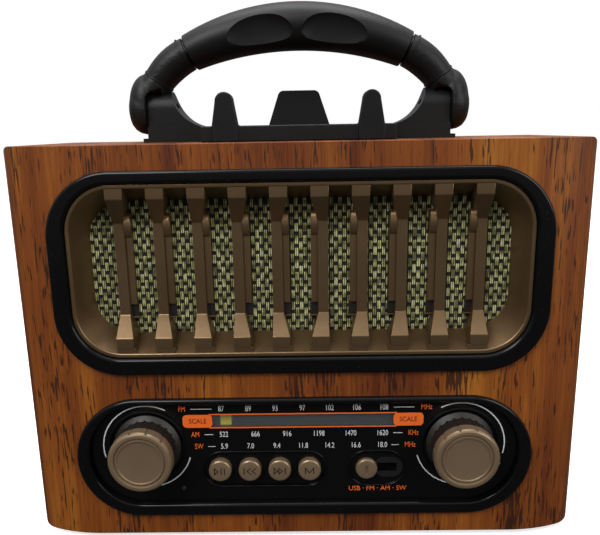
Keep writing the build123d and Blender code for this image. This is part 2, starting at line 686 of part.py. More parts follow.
def pointer_rail():
    half = WINDOW_HALF + 8.0
    return rod_x(RAIL_Y, RAIL_Z, RAIL_R, -half, half)


def pointer():
    xs = (POINTER_X - POINTER_W / 2, POINTER_X + POINTER_W / 2)
    z = RAIL_Z
    blade = block(xs, (PLATE_Y + PLATE_T + 0.6, RAIL_Y - 2.0), (WINDOW_Z - 2.6, z + 1.9))
    slider = block(xs, (RAIL_Y - 2.2, CORD_Y + 1.4), (z - 1.9, z + 1.9))
    slider = slider - rod_x(RAIL_Y, z, RAIL_R + 0.1, *xs)
    clip_z = (RUN_Z - 1.1, z + 1.9)
    clip = block(xs, (CORD_Y - 1.4, CORD_Y + 1.4), clip_z)
    arm = blade + slider + clip
    return arm - rod_x(CORD_Y, RUN_Z, CORD_R + CORD_GAP, *xs)


# ---------------------------------------------------------------- boards, aerial rod and cell inside
def main_board():
    return block((-92, 50), (42.0, 43.6), (WALL + 3, 62.0))


def board_parts():
    """Taller components on the main board: a chip, coils and capacitors."""
    made = [block((-20, -8), (39.5, 42.0), (30, 42))]
    for x in (-80, -68, -56):
        made.append(block((x, x + 8), (34.0, 42.0), (44, 52)))
    for x in (-84, -70, 30):
        made.append(rod_y(x, 24, 4.0, 31.0, 42.0))
    return made


def ferrite_rod():
    return rod_x(56.0, 66.0, 4.0, -92.0, -42.0)


def rod_coil():
    coil = rod_x(56.0, 66.0, 5.4, -84.0, -66.0)
    return coil - rod_x(56.0, 66.0, 4.05, -85.0, -65.0)


def rod_holder():
    made = []
    for x in (-58.0, -48.0):
        clip = block((x, x + 3), (43.6, 62.0), (54.0, 62.0)) + rod_x(56.0, 66.0, 6.0, x, x + 3)
        made.append(clip - rod_x(56.0, 66.0, 4.05, x - 1, x + 4))
    return made


def cell_axis():
    return BACK_Y - COVER_T - CELL_R - 2.2, DOOR_Z + DOOR_H / 2


def battery_cell():
    y, z = cell_axis()
    can = rod_x(y, z, CELL_R, -CELL_LEN / 2, CELL_LEN / 2 - 1.5)
    return can + rod_x(y, z, 2.8, CELL_LEN / 2 - 1.6, CELL_LEN / 2)


def battery_tray():
    y, z = cell_axis()
    half = CELL_LEN / 2 + 6.0
    depth = (y - CELL_R - 2.2, BACK_Y - COVER_T - 2.0)
    outer = block((-half - 1.5, half + 1.5), depth, (z - 11.4, z + 11.4))
    return outer - block((-half, half), (y - CELL_R - 0.6, BACK_Y), (z - 9.8, z + 9.8))


def battery_contacts():
    y, z = cell_axis()
    half = CELL_LEN / 2
    plate = block((half + 1.0, half + 1.6), (y - 5, y + 5), (z - 5, z + 5))
    spring = rod_x(y, z, 4.0, -half - 5.4, -half - 0.2)
    return [plate, spring]


# ---------------------------------------------------------------- sockets at the back
def socket_board():
    return block((SOCKET_X - 10, SOCKET_X + 10), (SOCKET_BOARD_Y, SOCKET_BOARD_Y + 1.6), (12, 74))


def usb_socket():
    front = SOCKET_BOARD_Y + 1.6
    shell = block((SOCKET_X - 6.6, SOCKET_X + 6.6), (front, BACK_Y), (USB_Z - 2.9, USB_Z + 2.9))
    port_x = (SOCKET_X - 6.2, SOCKET_X + 6.2)
    shell = shell - block(port_x, (front + 1, BACK_Y + 1), (USB_Z - 2.5, USB_Z + 2.5))
    tongue = block((SOCKET_X - 5.8, SOCKET_X + 5.8), (front + 0.5, BACK_Y - 2), (USB_Z + 0.2, USB_Z + 2.0))
    return shell + tongue


def card_slot():
    front = SOCKET_BOARD_Y + 1.6
    shell = block((SOCKET_X - 7, SOCKET_X + 7), (front, BACK_Y - 0.4), (CARD_Z - 1.4, CARD_Z + 1.4))
    slot_x = (SOCKET_X - 5.8, SOCKET_X + 5.8)
    return shell - block(slot_x, (front + 2, BACK_Y), (CARD_Z - 0.6, CARD_Z + 0.6))


def round_socket(z, outer_r, hole_r):
    front = SOCKET_BOARD_Y + 1.6
    body = block((SOCKET_X - 5, SOCKET_X + 5), (front, BACK_Y - COVER_T - 1), (z - 5, z + 5))
    body = body + rod_y(SOCKET_X, z, outer_r, BACK_Y - COVER_T - 1.2, BACK_Y)
    return body - rod_y(SOCKET_X, z, hole_r, front + 2, BACK_Y + 1)


def earphone_socket():
    return round_socket(EARPHONE_Z, 3.4, PLUG_R)


def power_socket():
    return round_socket(DC_Z, 4.4, DC_HOLE_R)


def dc_pin():
    return rod_y(SOCKET_X, DC_Z, 0.9, SOCKET_BOARD_Y + 3.8, BACK_Y - 2.5)


# ---------------------------------------------------------------- back cover and battery door
def cover_screw_places():
    for x in (-1, 1):
        for z in (12.0, CAB_H - LEDGE_H - 8.0):
            yield x * (CAB_W / 2 - 12.0), z


def back_cover():
    mask = top_corner_mask(0.4, 0.4)
    plate = through(mask, WRAP_D, WRAP_D + COVER_T)
    top = CAB_H - LEDGE_H
    bulge = rounded(CAB_W - 6, top - 4, 6, 0, (top + 4) / 2)
    bulge = through(bulge, WRAP_D, BACK_Y)
    bulge = fillet(bulge.edges().group_by(Axis.Y)[-1], 2.0)
    inside = rounded(CAB_W - 6 - 2 * COVER_T, top - 4 - 2 * COVER_T, 5, 0, (top + 4) / 2)
    hollow = through(inside, -1, BACK_Y - COVER_T)
    lip = rounded(CAB_W - 2 * WALL - 1, CAB_H - 2 * WALL - 1, 4, 0, CAB_H / 2)
    spigot = through(lip, WRAP_D - 4, WRAP_D)
    room = through(rounded(CAB_W - 2 * WALL - 5, CAB_H - 2 * WALL - 5, 4, 0, CAB_H / 2), WRAP_D - 5, WRAP_D)
    keep = block((-CAB_W, CAB_W), (WRAP_D, BACK_Y), (0, CAB_H))
    cover = plate + bulge + (spigot - room) - (hollow & keep)
    door = rounded(DOOR_W + 2 * 0.3, DOOR_H + 2 * 0.3, 2.5, 0, DOOR_Z + DOOR_H / 2)
    cover = cover - through(door, WRAP_D - 6, BACK_Y + 1)
    usb = block((SOCKET_X - 6.8, SOCKET_X + 6.8), (BACK_Y - 4, BACK_Y + 1), (USB_Z - 3.1, USB_Z + 3.1))
    card = block((SOCKET_X - 7.2, SOCKET_X + 7.2), (BACK_Y - 4, BACK_Y + 1), (CARD_Z - 1.6, CARD_Z + 1.6))
    cover = cover - usb - card
    cover = cover - rod_y(SOCKET_X, EARPHONE_Z, 3.6, BACK_Y - 4, BACK_Y + 1)
    cover = cover - rod_y(SOCKET_X, DC_Z, 4.6, BACK_Y - 4, BACK_Y + 1)
    for x, z in cover_screw_places():
        cover = cover - rod_y(x, z, COVER_SCREW_R + 0.3, BACK_Y - 2.0, BACK_Y + 1)
        cover = cover + (rod_y(x, z, 4.4, WRAP_D - 4, BACK_Y - 1.9) - rod_y(x, z, 1.7, WRAP_D - 5, BACK_Y))
        cover = cover - rod_y(x, z, COVER_SCREW_R + 0.3, BACK_Y - 2.0, BACK_Y + 1)
    for k in range(9):
        z = 84.0 + 4.4 * k
        cover = cover - through(stadium(64, 1.8, 18, z), BACK_Y - 4, BACK_Y + 1)
    return cover - rod_y(AERIAL_X, AERIAL_Z, 3.05, WRAP_D - 5, WRAP_D + COVER_T + 1)


def cover_screws():
    made = []
    for x, z in cover_screw_places():
        head = rod_y(x, z, COVER_SCREW_R, BACK_Y - 1.8, BACK_Y - 0.4)
        head = head - through(Pos(x, z) * (Rectangle(4, 0.8) + Rectangle(0.8, 4)), BACK_Y - 1.2, BACK_Y)
        made.append(head + rod_y(x, z, 1.5, WRAP_D - 6, BACK_Y - 1.8))
    return made


def battery_door():
    door = rounded(DOOR_W, DOOR_H, 2.2, 0, DOOR_Z + DOOR_H / 2)
    lid = through(door, BACK_Y - COVER_T, BACK_Y)
    lid = fillet(lid.edges().group_by(Axis.Y)[-1], 0.6)
    for k in range(5):
        x = (k - 2) * 3.0
        lid = lid - through(stadium(1.4, 9, x, DOOR_Z + DOOR_H / 2), BACK_Y - 0.6, BACK_Y + 1)
    return lid


# ---------------------------------------------------------------- telescopic aerial
def aerial_swivel():
    """The stud that turns in the back cover, with its fork."""
    y0 = WRAP_D + COVER_T + 0.2
    stud = rod_y(AERIAL_X, AERIAL_Z, 3.0, WRAP_D - 2.0, y0 + 0.1)
    washer = rod_y(AERIAL_X, AERIAL_Z, 4.6, WRAP_D - 2.0, WRAP_D - 0.4)
    disc = rod_y(AERIAL_X, AERIAL_Z, 5.4, y0, y0 + 1.0)
    y1 = AERIAL_Y + AERIAL_R
    fork = block((AERIAL_X - 4, AERIAL_X + 4), (y0 + 0.9, y1), (AERIAL_Z - 4.2, AERIAL_Z + 4.2))
    fork = fork & rod_y(AERIAL_X, AERIAL_Z, 5.4, y0, y1)
    slot = block((AERIAL_X - 8, AERIAL_X + 8), (y0 + 0.9, y1 + 1), (AERIAL_Z - 2.2, AERIAL_Z + 2.2))
    pin = Pos(AERIAL_X, AERIAL_Y, AERIAL_Z) * Cylinder(1.0, 8.0)
    hole = Pos(AERIAL_X, AERIAL_Y, AERIAL_Z) * Cylinder(1.05, 9.0)
    return stud + washer + disc + (fork - slot - hole), pin


def aerial_section(k):
    """Section 0 is the outer tube with the hinge tongue; each next one slides inside."""
    r = AERIAL_R - AERIAL_STEP * k
    root_x = AERIAL_X - 7.0 - 1.5 * k
    length = AERIAL_LEN - 7.0 - 1.5 * k + 1.6 * k
    tube = rod_x(AERIAL_Y, AERIAL_Z, r, root_x - length, root_x)
    if k < AERIAL_SECTIONS - 1:
        tube = tube - rod_x(AERIAL_Y, AERIAL_Z, r - AERIAL_WALL, root_x - length - 1, root_x - 1.2)
    else:
        tip_x = root_x - length
        tube = tube + rod_x(AERIAL_Y, AERIAL_Z, AERIAL_R, tip_x - 4.0, tip_x)
    if k == 0:
        tongue_y = (AERIAL_Y - 2.4, AERIAL_Y + 2.4)
        tongue = block((AERIAL_X - 7.5, AERIAL_X), tongue_y, (AERIAL_Z - 1.9, AERIAL_Z + 1.9))
        tongue = tongue + Pos(AERIAL_X, AERIAL_Y, AERIAL_Z) * Cylinder(2.4, 3.8)
        tube = tube + tongue - Pos(AERIAL_X, AERIAL_Y, AERIAL_Z) * Cylinder(1.05, 9.0)
    return tube


# ---------------------------------------------------------------- handle base and phone cradle
def base_outline():
    """Front view of the base bar with its two posts and the concave shoulders."""
    z0 = CAB_H
    top = PIVOT_AT + POST_R
    floor = z0 + BASE_T
    inner = POST_OUT - POST_TOP_W
    arc_end = inner - ARCH_R + 1.6
    mid = (inner - 4.1 * ARCH_R / 14, floor + 4.7 * (top - floor) / 14)
    shoulder = ThreePointArc((inner, top), mid, (arc_end, floor))
    outline = [Line((0, z0), (POST_OUT, z0)), Line((POST_OUT, z0), (POST_OUT, top))]
    outline += [Line((POST_OUT, top), (inner, top)), shoulder]
    outline += [Line((arc_end, floor), (0, floor)), Line((0, floor), (0, z0))]
    half = make_face(outline)
    return half + mirror(half, about=Plane.YZ)


def handle_base():
    depth = (HANDLE_Y - BASE_HALF_D, HANDLE_Y + BASE_HALF_D)
    bar = through(base_outline(), *depth)
    crown = rod_x(HANDLE_Y, PIVOT_AT, POST_R, -POST_OUT, POST_OUT)
    lower = block((-CAB_W / 2, CAB_W / 2), depth, (CAB_H, CAB_H + BASE_T))
    neck = block((-CAB_W / 2, CAB_W / 2), (HANDLE_Y - POST_R, HANDLE_Y + POST_R), (CAB_H, PIVOT_AT))
    bar = bar & (crown + lower + neck)
    for side in (-1, 1):
        step_x = sorted((side * (POST_OUT - POST_TOP_W - ARCH_R), side * (POST_OUT + 1)))
        step_y = (HANDLE_Y + POST_R, HANDLE_Y + BASE_HALF_D + 1)
        bar = bar - block(step_x, step_y, (CAB_H + BASE_T - FOLD_RELIEF, CAB_H + BASE_T + 1))
    half = POST_OUT + 2.0
    bar = bar + block((-half, half), depth, (CAB_H, CAB_H + 1.6))
    for side in (-1, 1):
        hole_x = sorted((side * (POST_OUT + 1), side * (POST_OUT - POST_TOP_W - 2)))
        bar = bar - rod_x(HANDLE_Y, PIVOT_AT, PIVOT_R + BUSH_GAP, *hole_x)
    return bar


def prong(x):
    half = PRONG_BASE_HALF
    z0 = CAB_H
    tip_z = CAB_H + PRONG_TOP - PRONG_TIP_R
    body = make_face(Polyline(
        (x - half, z0), (x + half, z0), (x + half, z0 + BASE_T),
        (x + PRONG_TIP_R, tip_z), (x - PRONG_TIP_R, tip_z), (x - half, z0 + BASE_T), close=True))
    outline = body + Pos(x, tip_z) * Circle(PRONG_TIP_R)
    return through(outline, CRADLE_Y0, CRADLE_Y0 + PRONG_T)


def phone_cradle():
    inner = POST_OUT - POST_TOP_W - ARCH_R
    y1 = HANDLE_Y - BASE_HALF_D
    floor = block((-inner, inner), (CRADLE_Y0 + 1.2, y1), (CAB_H, CAB_H + BASE_T))
    return floor + prong(-PRONG_X) + prong(PRONG_X)


def phone_rest():
    y0 = REST_Y0
    z0 = CAB_H
    z1 = CAB_H + REST_TOP
    points = [(-REST_BASE_HALF, z0), (REST_BASE_HALF, z0), (REST_BASE_HALF, z0 + BASE_T)]
    points += [(REST_TOP_HALF, z1), (-REST_TOP_HALF, z1), (-REST_BASE_HALF, z0 + BASE_T)]
    face = make_face(Polyline(*points, close=True))
    face = fillet(face.vertices().group_by(Axis.Y)[-1], 2.5)
    plate = through(face, y0, y0 + REST_T)
    root_x = (-REST_BASE_HALF, REST_BASE_HALF)
    return plate + block(root_x, (HANDLE_Y + BASE_HALF_D, y0 + 0.1), (z0, z0 + BASE_T))


# ---------------------------------------------------------------- carry handle
def ellipse_at(x, z, heading, size):
    """A section across the handle; heading is the centre line's angle in the XZ plane."""
    turn = math.radians(heading)
    along = Vector(math.cos(turn), 0, math.sin(turn))
    plane = Plane(origin=(x, HANDLE_Y, z), x_dir=(0, 1, 0), z_dir=along)
    return plane * Ellipse(size[1] / 2, size[0] / 2)


def grip_centre(x):
    """Height and heading of the grip's centre line at x."""
    radius = (GRIP_HALF ** 2 + GRIP_RISE ** 2) / (2 * GRIP_RISE)
    z = CAB_H + GRIP_TOP - radius + math.sqrt(radius ** 2 - x ** 2)
    return z, -math.degrees(math.asin(x / radius))


def handle_grip():
    sections = []
    for t in (-1, -0.55, 0, 0.55, 1):
        x = GRIP_HALF * t
        z, heading = grip_centre(x)
        share = 1 - t * t
        size = [e + (m - e) * share for m, e in zip(GRIP_MID, GRIP_END)]
        sections.append(ellipse_at(x, z, heading, size))
    return loft(sections)


def handle_arm(side):
    """One arm: the sleeve below the grip, the hollow shoulder and the hub on the pivot."""
    z_end, heading = grip_centre(GRIP_HALF)
    along = Vector(math.cos(math.radians(heading)), 0, math.sin(math.radians(heading)))
    x0 = GRIP_HALF + GRIP_NECK * along.X
    z0 = z_end + GRIP_NECK * along.Z
    ring_z = CAB_H + RING_RISE
    swell = 0.8
    middle_at = ((x0 + RING_X) / 2 + swell, (z0 + ring_z) / 2 + swell)
    start = ellipse_at(x0, z0, heading, ARM_TOP)
    middle = ellipse_at(*middle_at, (heading + RING_HEADING) / 2, ARM_TOP)
    sleeve = loft([start, middle, ellipse_at(RING_X, ring_z, RING_HEADING, ARM_RING)])
    neck_size = [0.8 * size for size in ARM_TOP]
    sleeve = sleeve + extrude(ellipse_at(x0, z0, heading, neck_size), amount=-GRIP_NECK)
    across = math.radians(RING_HEADING + 90)
    reach_x = ARM_RING[0] / 2 * math.cos(across)
    reach_z = ARM_RING[0] / 2 * math.sin(across)
    edge = (RING_X + reach_x - 0.3, ring_z + reach_z + 0.4)
    inner = (RING_X - reach_x - 0.1, ring_z - reach_z + 0.4)
    hub_in = POST_OUT + 0.4
    crest = PIVOT_AT + POST_R + 0.6
    rim = ThreePointArc(edge, (HUB_OUT - 1.4, PIVOT_AT + 8.4), (HUB_OUT, PIVOT_AT + 1.5))
    foot = (hub_in + 2, PIVOT_AT - HUB_R + 0.2)
    low = ThreePointArc((HUB_OUT, PIVOT_AT + 1.5), (HUB_OUT - 1.6, PIVOT_AT - 5.8), foot)
    heel = (hub_in, PIVOT_AT - HUB_R)
    pocket = (hub_in, crest + 4)
    bridge = (RING_X - 1.5, crest)
    lines = [rim, low, Line(foot, heel), Line(heel, pocket)]
    lines += [Line(pocket, bridge), Line(bridge, inner), Line(inner, edge)]
    slab = through(make_face(lines), HANDLE_Y - HUB_R, HANDLE_Y + HUB_R)
    drum = rod_x(HANDLE_Y, PIVOT_AT, HUB_R, hub_in - 20, HUB_OUT + 2)
    half_d = ARM_RING[1] / 2
    neck = block((0, CAB_W), (HANDLE_Y - half_d, HANDLE_Y + half_d), (PIVOT_AT, CAB_H + GRIP_TOP))
    arm = (slab & (drum + neck)) + sleeve
    arm = arm - rod_x(HANDLE_Y, PIVOT_AT, POST_R + 0.5, RING_X - 12, hub_in)
    arm = arm - rod_x(HANDLE_Y, PIVOT_AT, PIVOT_R, hub_in - 1, HUB_OUT - 3.0)
    return arm if side > 0 else mirrored(arm)


def pivot_pin(side):
    pin = rod_x(HANDLE_Y, PIVOT_AT, PIVOT_R, POST_OUT - POST_TOP_W, HUB_OUT - 3.0)
    return pin if side > 0 else mirrored(pin)


# ---------------------------------------------------------------- export
def all_nodes():
    swivel, swivel_pin = aerial_swivel()
    nodes = {
        "cabinet_front": cabinet_front(), "cabinet_wrap": cabinet_wrap(), "feet": feet(),
        "speaker_bezel": speaker_bezel(), "speaker_grille": speaker_grille(),
        "speaker_cloth": speaker_cloth(), "speaker_baffle": speaker_baffle(),
        "speaker_basket": speaker_basket(), "speaker_surround": speaker_surround(),
        "speaker_cone": [speaker_cone(), dust_cap(), voice_coil()], "speaker_magnet": speaker_magnet(),
        "control_bezel": control_bezel(), "dial_plate": dial_plate(), "dial_window": dial_window(),
        "volume_knob_cap": knob_cap(-1), "volume_knob_skirt": knob_skirt(-1),
        "tuning_knob_cap": knob_cap(1), "tuning_knob_skirt": knob_skirt(1),
        "volume_shaft": volume_shaft(), "volume_pot": volume_pot(),
        "front_board": [front_board(), power_lamp()] + tact_switches(),
        "band_slider": band_slider(), "band_switch": band_switch(), "dial_cord": dial_cord(),
        "cord_guides": cord_guides() + [pointer_rail()], "dial_chassis": dial_chassis(),
        "tuning_bush": tuning_bush(), "tuning_spindle": tuning_spindle(), "tuning_drum": tuning_drum(),
        "variable_capacitor": variable_capacitor(), "pointer": pointer(),
        "main_board": [main_board()] + board_parts(), "ferrite_rod": ferrite_rod(),
        "rod_coil": rod_coil(), "rod_holder": rod_holder(), "battery_cell": battery_cell(),
        "battery_tray": battery_tray(), "battery_contacts": battery_contacts(),
        "usb_socket": usb_socket(), "card_slot": card_slot(),
        "round_sockets": [earphone_socket(), power_socket(), dc_pin()],
        "socket_board": socket_board(), "back_cover": back_cover(),
        "screws": cover_screws() + driver_screws(),
        "battery_door": battery_door(), "aerial_swivel": [swivel, swivel_pin],
        "handle_base": handle_base(), "phone_cradle": phone_cradle(), "phone_rest": phone_rest(),
        "handle_grip": handle_grip(), "handle_arms": [handle_arm(-1), handle_arm(1)],
        "pivot_pins": [pivot_pin(-1), pivot_pin(1)],
    }
    names = ["button_play", "button_back", "button_next", "button_mode"]
    for name, x in zip(names, button_xs()):
        nodes[name] = push_button(x)
    for k in range(AERIAL_SECTIONS):
        nodes[f"aerial_section_{k + 1}"] = aerial_section(k)
    return nodes


def solids_of(shape):
    if isinstance(shape, list):
        return [solid for piece in shape for solid in piece.solids()]
    return list(shape.solids())


def main():
    os.makedirs("parts", exist_ok=True)
    place = Pos(0, -MID_Y, FOOT_H)
    for name, shape in all_nodes().items():
        moved = [place * solid for solid in solids_of(shape)]
        made = moved[0] if len(moved) == 1 else Compound(children=moved)
        export_step(made, f"parts/{name}.step")


main()
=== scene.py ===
import json
import math

import bmesh
import bpy
from mathutils import Matrix, Vector


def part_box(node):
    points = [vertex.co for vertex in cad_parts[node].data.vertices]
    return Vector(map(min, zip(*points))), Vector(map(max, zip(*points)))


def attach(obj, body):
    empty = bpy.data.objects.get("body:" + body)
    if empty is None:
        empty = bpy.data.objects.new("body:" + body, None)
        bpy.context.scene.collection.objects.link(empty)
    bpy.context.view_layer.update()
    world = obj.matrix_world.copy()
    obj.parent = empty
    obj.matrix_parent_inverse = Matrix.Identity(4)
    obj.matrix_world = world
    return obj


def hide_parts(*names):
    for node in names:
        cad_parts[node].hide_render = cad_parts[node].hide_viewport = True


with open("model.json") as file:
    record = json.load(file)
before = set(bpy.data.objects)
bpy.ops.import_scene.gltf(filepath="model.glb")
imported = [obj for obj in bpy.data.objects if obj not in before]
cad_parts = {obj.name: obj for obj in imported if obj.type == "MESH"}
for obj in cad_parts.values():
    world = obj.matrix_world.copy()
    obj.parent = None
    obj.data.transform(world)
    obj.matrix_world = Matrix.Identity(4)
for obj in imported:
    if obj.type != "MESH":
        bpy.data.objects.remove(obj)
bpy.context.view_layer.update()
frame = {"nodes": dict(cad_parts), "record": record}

MM = 0.001
SCENE = bpy.context.scene

# Places below are in mm from the middle of the cabinet's front face, at its underside:
# x to the radio's right as seen from the front, y towards the back, z up.
FRONT_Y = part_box("cabinet_front")[0][1]
BASE_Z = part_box("cabinet_wrap")[0][2]


def at(x, y, z):
    """A place in mm on the cabinet, as a point in the frame."""
    return Vector((x * MM, FRONT_Y + y * MM, BASE_Z + z * MM))


def extent(node):
    """A CAD node's lowest and highest corners, in mm on the cabinet."""
    shift = at(0, 0, 0)
    return [(Vector(corner) - shift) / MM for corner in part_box(node)]


# ---------------- materials
class Value:
    """A node's output that can be used in arithmetic; each operation adds a Math node."""

    def __init__(self, kit, socket):
        self.kit = kit
        self.socket = socket

    def __add__(self, other):
        return self.kit.sum("ADD", self, other)

    def __sub__(self, other):
        return self.kit.sum("SUBTRACT", self, other)

    def __mul__(self, other):
        return self.kit.sum("MULTIPLY", self, other)

    __radd__ = __add__
    __rmul__ = __mul__


class Finish:
    """One material: its node tree, and the few nodes that every finish here uses."""

    def __init__(self, name):
        self.material = bpy.data.materials.new(name)
        self.material.use_nodes = True
        self.tree = self.material.node_tree
        self.tree.nodes.clear()
        self.shader = self.tree.nodes.new("ShaderNodeBsdfPrincipled")
        output = self.tree.nodes.new("ShaderNodeOutputMaterial")
        self.tree.links.new(self.shader.outputs[0], output.inputs[0])
        self.place = self.add("ShaderNodeTexCoord", out="Object")

    def add(self, kind, settings=None, sockets=None, out=0):
        """Adds a node: settings first, then the values or links of its sockets."""
        node = self.tree.nodes.new(kind)
        for key, value in (settings or {}).items():
            if key == "stops":
                self.set_stops(node.color_ramp, value)
            else:
                setattr(node, key, value)
        for key, value in (sockets or {}).items():
            self.feed(node.inputs[key], value)
        return Value(self, node.outputs[out])

    def set_stops(self, ramp, stops):
        while len(ramp.elements) < len(stops):
            ramp.elements.new(0.5)
        for element, (position, colour) in zip(ramp.elements, stops):
            element.position = position
            element.color = (*colour, 1)

    def feed(self, socket, value):
        if isinstance(value, Value):
            self.tree.links.new(value.socket, socket)
        elif socket.type == "RGBA" and len(value) == 3:
            socket.default_value = (*value, 1)
        else:
            socket.default_value = value

    def sum(self, operation, a, b):
        return self.add("ShaderNodeMath", {"operation": operation}, {0: a, 1: b})

    def set(self, **values):
        """Sets or links the shader's own sockets."""
        for key, value in values.items():
            self.feed(self.shader.inputs[key.replace("_", " ")], value)
        return self

    def stretch(self, scale):
        """Object coordinates scaled by a different amount along each axis."""
        return self.add("ShaderNodeMapping", {}, {"Vector": self.place, "Scale": scale})

    def noise(self, scale, detail=3.0, rough=0.55, place=None, distort=0.0):
        sockets = {"Vector": place or self.place, "Scale": scale, "Detail": detail}
        sockets.update({"Roughness": rough, "Distortion": distort})
        return self.add("ShaderNodeTexNoise", {}, sockets)

    def ramp(self, value, *stops):
        return self.add("ShaderNodeValToRGB", {"stops": stops}, {"Fac": value})

    def smooth(self, value, low, high):
        """A soft step from 0 to 1 as value goes from low to high."""
        sockets = {"Value": value, "From Min": low, "From Max": high}
        return self.add("ShaderNodeMapRange", {"interpolation_type": "SMOOTHSTEP"}, sockets)

    def mix(self, share, a, b, how="MIX"):
        """Mixes two colours."""
        settings = {"data_type": "RGBA", "blend_type": how}
        return self.add("ShaderNodeMix", settings, {0: share, 6: a, 7: b}, out=2)

    def parts(self, vector):
        """The X, Y and Z of a vector."""
        node = self.add("ShaderNodeSeparateXYZ", {}, {0: vector}).socket.node
        return [Value(self, socket) for socket in node.outputs]

    def vector(self, x, y, z):
        return self.add("ShaderNodeCombineXYZ", {}, {0: x, 1: y, 2: z})

    def bump(self, height, distance, strength):
        """A surface normal from a height; distance in metres."""
        sockets = {"Height": height, "Distance": distance, "Strength": strength}
        return self.add("ShaderNodeBump", {}, sockets)


# Bump heights in metres, and how much the polished plastic shows its dust.
FINE_BUMP = 0.00003
MOULD_BUMP = 0.00004
PORE_BUMP = 0.00006
RIPPLE_BUMP = 0.0004
YARN_BUMP = 0.00012
DUST_SHARE = 0.02


def wood_finish():
    """A walnut film: bands along the grain, fine lines and short dark pores."""
    m = Finish("walnut_film")
    x, y, z = m.parts(m.place)
    facing = m.parts(m.add("ShaderNodeNewGeometry", out="Normal"))
    side = m.smooth(m.sum("ABSOLUTE", facing[0], 0), 0.5, 0.9)
    across = x + y * side
    along = z + y
    wobble = m.noise(9.0, 2.0, place=m.vector(across, 0, along * 0.35)) - 0.5
    across = across + wobble * 0.012
    broad = m.noise(1.0, 3.0, place=m.vector(across * 26, 0, along * 2.2), distort=0.6)
    band = m.noise(1.0, 4.0, 0.6, place=m.vector(across * 95, 3, along * 7.0))
    fine = m.noise(1.0, 3.0, 0.7, place=m.vector(across * 1400, 7, along * 22.0))
    tone = m.ramp(
        broad * 0.55 + band * 0.45,
        (0.32, (0.055, 0.013, 0.004)), (0.42, (0.115, 0.026, 0.006)),
        (0.53, (0.225, 0.062, 0.009)), (0.66, (0.350, 0.125, 0.016)))
    grain = m.mix(m.smooth(fine, 0.35, 0.7), (0.72, 0.68, 0.64), (1.08, 1.05, 1.0))
    tone = m.mix(1.0, tone, grain, "MULTIPLY")
    pore_lines = m.noise(1.0, 1.0, 0.5, place=m.vector(across * 1150, 11, along * 105.0))
    pore_zone = m.noise(1.0, 2.0, 0.5, place=m.vector(across * 70, 5, along * 16.0))
    pores = m.smooth(pore_lines + pore_zone * 0.75, 0.975, 1.03)
    tone = m.mix(pores * 0.85, tone, (0.020, 0.008, 0.004))
    m.set(Base_Color=tone, Roughness=0.42 + fine * 0.12, Specular_IOR_Level=0.25)
    height = fine * 0.35 - pores
    return m.set(Normal=m.bump(height, PORE_BUMP, 0.6)).material


def gloss_finish(name, colour):
    """Polished black plastic with a little haze and dust."""
    m = Finish(name)
    haze = m.noise(38.0, 4.0)
    dust = m.smooth(m.noise(900.0, 2.0, 0.6), 0.66, 0.78)
    tone = m.mix(dust * DUST_SHARE, colour, (0.45, 0.45, 0.46))
    m.set(Base_Color=tone, Roughness=0.06 + haze * 0.06, Specular_IOR_Level=0.22)
    ripple = m.noise(22.0, 1.0)
    return m.set(Normal=m.bump(ripple, RIPPLE_BUMP, 0.12)).material


def moulded_finish(name, colour, grain=2600.0, rough=0.5):
    """Textured moulded plastic: spark-eroded grain, slight unevenness."""
    m = Finish(name)
    speck = m.noise(grain, 2.0, 0.6)
    patch = m.noise(30.0, 3.0)
    tone = m.mix(patch, [0.8 * c for c in colour], [1.25 * c for c in colour])
    m.set(Base_Color=tone, Roughness=rough + patch * 0.12 - 0.06)
    return m.set(Normal=m.bump(speck, MOULD_BUMP, 0.7)).material


def bronze_finish(name, colour, rough, metal):
    """Bronze metallic lacquer: fine flakes, slightly cloudy."""
    m = Finish(name)
    flake = m.noise(5200.0, 1.0, 0.5)
    cloud = m.noise(45.0, 3.0)
    tone = m.mix(cloud, [0.82 * c for c in colour], [1.15 * c for c in colour])
    tone = m.mix(m.smooth(flake, 0.5, 0.8) * 0.35, tone, [min(1, 1.9 * c) for c in colour])
    m.set(Base_Color=tone, Metallic=metal, Roughness=rough + cloud * 0.1 - 0.05)
    return m.set(Normal=m.bump(flake, FINE_BUMP, 0.4)).material


def metal_finish(name, colour, rough, brush=0.4):
    """Bare metal, brushed along Y; brush is how strongly."""
    m = Finish(name)
    lines = m.noise(1.0, 3.0, 0.6, place=m.stretch((3000, 250, 3000)))
    stain = m.noise(60.0, 3.0)
    tone = m.mix(stain * 0.5, colour, [0.72 * c for c in colour])
    m.set(Base_Color=tone, Metallic=1.0, Roughness=rough + lines * 0.15 * brush + stain * 0.06)
    return m.set(Normal=m.bump(lines, FINE_BUMP, brush)).material


def plain_finish(name, colour, rough, grain=1500.0, **more):
    """Inner parts: an even colour with a fine surface and a little grime."""
    m = Finish(name)
    speck = m.noise(grain, 2.0)
    grime = m.noise(55.0, 4.0)
    tone = m.mix(m.smooth(grime, 0.5, 0.8) * 0.4, colour, [0.6 * c for c in colour])
    m.set(Base_Color=tone, Roughness=rough + grime * 0.1, **more)
    return m.set(Normal=m.bump(speck, FINE_BUMP, 0.4)).material


